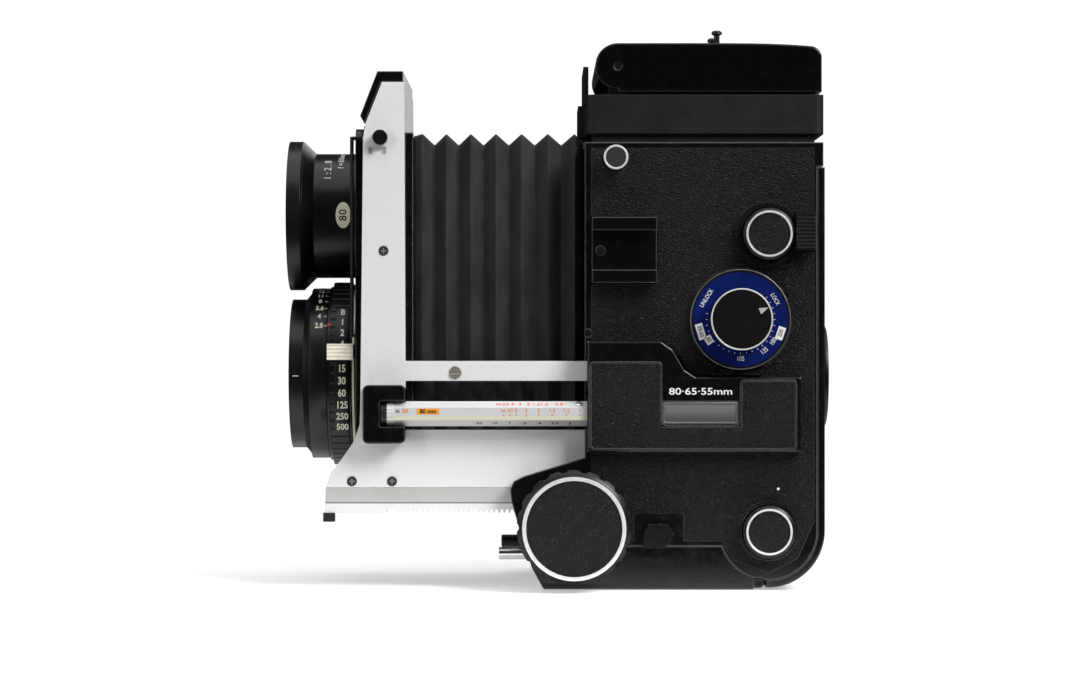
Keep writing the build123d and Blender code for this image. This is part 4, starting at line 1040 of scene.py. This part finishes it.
def make_door_trim():
    """Leather of the back door, with a hole for the film-type dial, and the dial's figures."""
    face = high("back_door").y
    dial = middle("film_type_dial")
    sheet_corners = box_corners(-40.5, 40.5, 21.0, 125.5)
    sheet = plate("door_leather", sheet_corners, 0.25, (0, face - 0.05, 0), BACK, 3.0)
    cutter = disc("cutter", (dial.x, face, dial.z), 17.2, 6.0, "Y")
    apply(sheet, "BOOLEAN", object=cutter, operation="DIFFERENCE")
    bpy.data.objects.remove(cutter)
    hand_over(sheet, "back_door", LEATHER, edge=0.1)
    top = high("film_type_dial").y
    marks = []
    for i, words in enumerate(("120", "24", "220", "12")):
        angle = math.radians(90 - 90 * i)
        outward = -X * math.cos(angle) + Z * math.sin(angle)
        place = Vector((dial.x, top + 0.02, dial.z)) + outward * 11.6
        marks.append(stamp(words, 2.4, place, *BACK))
    hand_over(joined("film_dial_figures", marks), "film_type_dial", WHITE)
    rim = ring("film_dial_rim", (dial.x, top + 0.9, dial.z), 15.9, 14.2, 2.0, "Y")
    hand_over(rim, "film_type_dial", ANODISED, edge=0.4)
    grip = plate("film_dial_grip", box_corners(-8.5, 8.5, -1.6, 1.6), 2.0, (dial.x, top - 0.2, dial.z),
                 BACK, 1.2)
    hand_over(grip, "film_type_dial", RING_METAL, edge=0.2)


def make_counter():
    """Frame counter under its window on the right side."""
    window = middle("counter_window")
    bottom = high("counter_window").x
    plaque = disc("counter_disc", (bottom - 0.25, window.y, window.z), 4.5, 0.3, "X", 48)
    edit(plaque, "FACE", lambda face: end_cap(face) and face.normal.x < -0.5)
    bpy.ops.mesh.inset(thickness=0.3 * MM)
    bpy.ops.transform.translate(value=(-0.05 * MM, 0, 0))
    close_edit()
    hand_over(plaque, "camera_body", BLACK, edge=0.04)
    figure = stamp("12", 3.6, (bottom - 0.55, window.y, window.z), *RIGHT, weight=0.03)
    figure.name = "counter_figure"
    hand_over(figure, "camera_body", WHITE)
    frame_ring = ring("counter_ring", (low("right_cover").x - 0.2, window.y, window.z), 6.6, 5.1, 0.6, "X")
    hand_over(frame_ring, "camera_body", RING_METAL, edge=0.15)


def make_strap_stud_rings():
    """Bright rim of each strap stud."""
    centre = middle("strap_lugs")
    face = high("strap_lugs").x - 0.1
    for side, name in ((1, "left"), (-1, "right")):
        rim = ring(f"{name}_stud_rim", (side * face, centre.y, centre.z), 3.75, 3.1, 0.5, "X")
        hand_over(rim, "camera_body", RING_METAL, edge=0.2)


def make_release_dot():
    """White dot by the lower spool knob."""
    face = high("left_leather").x
    dot = disc("cover_dot", (face, 39.2, 30.8), 0.42, 0.16, "X", 24)
    edit(dot, "FACE", lambda part: end_cap(part) and part.normal.x > 0.5)
    bpy.ops.mesh.inset(thickness=0.1 * MM)
    bpy.ops.transform.translate(value=(0.03 * MM, 0, 0))
    close_edit()
    hand_over(dot, "camera_body", WHITE)


# ---------------------------------------------------------------- studio


def make_floor():
    """Pale sweep that fades into the background far from the camera."""
    bpy.ops.object.select_all(action="DESELECT")
    bpy.ops.mesh.primitive_circle_add(vertices=96, radius=4.0, fill_type="NGON", location=(0, 0, -0.0002))
    floor = settle("floor")
    board = Board("floor_paper", Roughness=0.85, Specular_IOR_Level=0.1, Emission_Strength=0.42)
    board.shader.inputs["Emission Color"].default_value = rgb(1.0, 1.0, 1.0)
    # The paper ends softly a little outside the camera's footprint, drawn here as an oval.
    half_width, half_length = 95, 115
    footprint = board.place((0, -22, 0), (1 / half_width, 1 / half_length, 1))
    reach = board.node("VectorMath", {"operation": "LENGTH"}, {0: footprint}, output=1)
    grain = board.noise(board.place(), 0.5, 2.0)
    tone = board.mix(grain, rgb(0.90, 0.90, 0.90), rgb(0.93, 0.93, 0.93))
    material = board.finish(Base_Color=tone, Alpha=reach.fall(0.9, 1.8))
    floor.data.materials.append(material)


def soft_light(name, place, aim, size, power):
    light = bpy.data.lights.new(name, "AREA")
    light.shape = "RECTANGLE"
    light.size, light.size_y = size
    light.energy = power
    lamp = bpy.data.objects.new(name, light)
    bpy.context.scene.collection.objects.link(lamp)
    lamp.location = place
    lamp.rotation_euler = (Vector(aim) - Vector(place)).to_track_quat("-Z", "Y").to_euler()


def make_studio():
    """White surround, one large soft light overhead and softer ones round the camera."""
    middle_height = (0, 0, 0.08)
    soft_light("overhead", (0.15, 0.0, 1.25), middle_height, (1.5, 1.5), 11)
    soft_light("left_key", (0.80, 0.85, 0.95), middle_height, (0.6, 0.6), 22)
    soft_light("front_fill", (0.3, -1.5, 0.6), middle_height, (0.9, 0.9), 4)
    soft_light("edge_strip", (0.75, -0.75, 0.25), middle_height, (0.06, 0.9), 2.2)
    soft_light("right_fill", (-1.3, 0.4, 0.6), middle_height, (0.9, 0.9), 3)
    soft_light("back_fill", (-0.3, 1.4, 0.6), middle_height, (0.9, 0.9), 2.5)
    world = bpy.data.worlds.new("studio")
    bpy.context.scene.world = world
    world.use_nodes = True
    nodes, links = world.node_tree.nodes, world.node_tree.links
    rays = nodes.new("ShaderNodeLightPath")
    seen = nodes["Background"]
    seen.inputs["Color"].default_value = rgb(1.0, 1.0, 1.0)
    seen.inputs["Strength"].default_value = 1.05
    lit = nodes.new("ShaderNodeBackground")
    lit.inputs["Strength"].default_value = 0.05
    choice = nodes.new("ShaderNodeMixShader")
    links.new(rays.outputs["Is Camera Ray"], choice.inputs[0])
    links.new(lit.outputs[0], choice.inputs[1])
    links.new(seen.outputs[0], choice.inputs[2])
    links.new(choice.outputs[0], nodes["World Output"].inputs["Surface"])
    bpy.context.scene.view_settings.view_transform = "Standard"


def make_view():
    """The camera stands level, square to the user's left side."""
    lens = bpy.data.cameras.new("view")
    lens.sensor_width = 36
    lens.lens = 115.3
    lens.clip_start = 0.01
    lens.clip_end = 20
    eye = bpy.data.objects.new("view", lens)
    bpy.context.scene.collection.objects.link(eye)
    eye.location = (1.100, -0.0335, 0.0744)
    eye.rotation_euler = (math.pi / 2, 0, math.pi / 2)
    bpy.context.scene.camera = eye


paint_cad_nodes()
make_view()
make_studio()
make_floor()
make_bellows()
make_knob_faces()
make_dial()
make_scale_housing()
make_scale_figures()
make_scale_block()
make_lens_figures()
make_lens_badge()
make_shutter_blades()
make_door_trim()
make_counter()
make_strap_stud_rings()
make_release_dot()
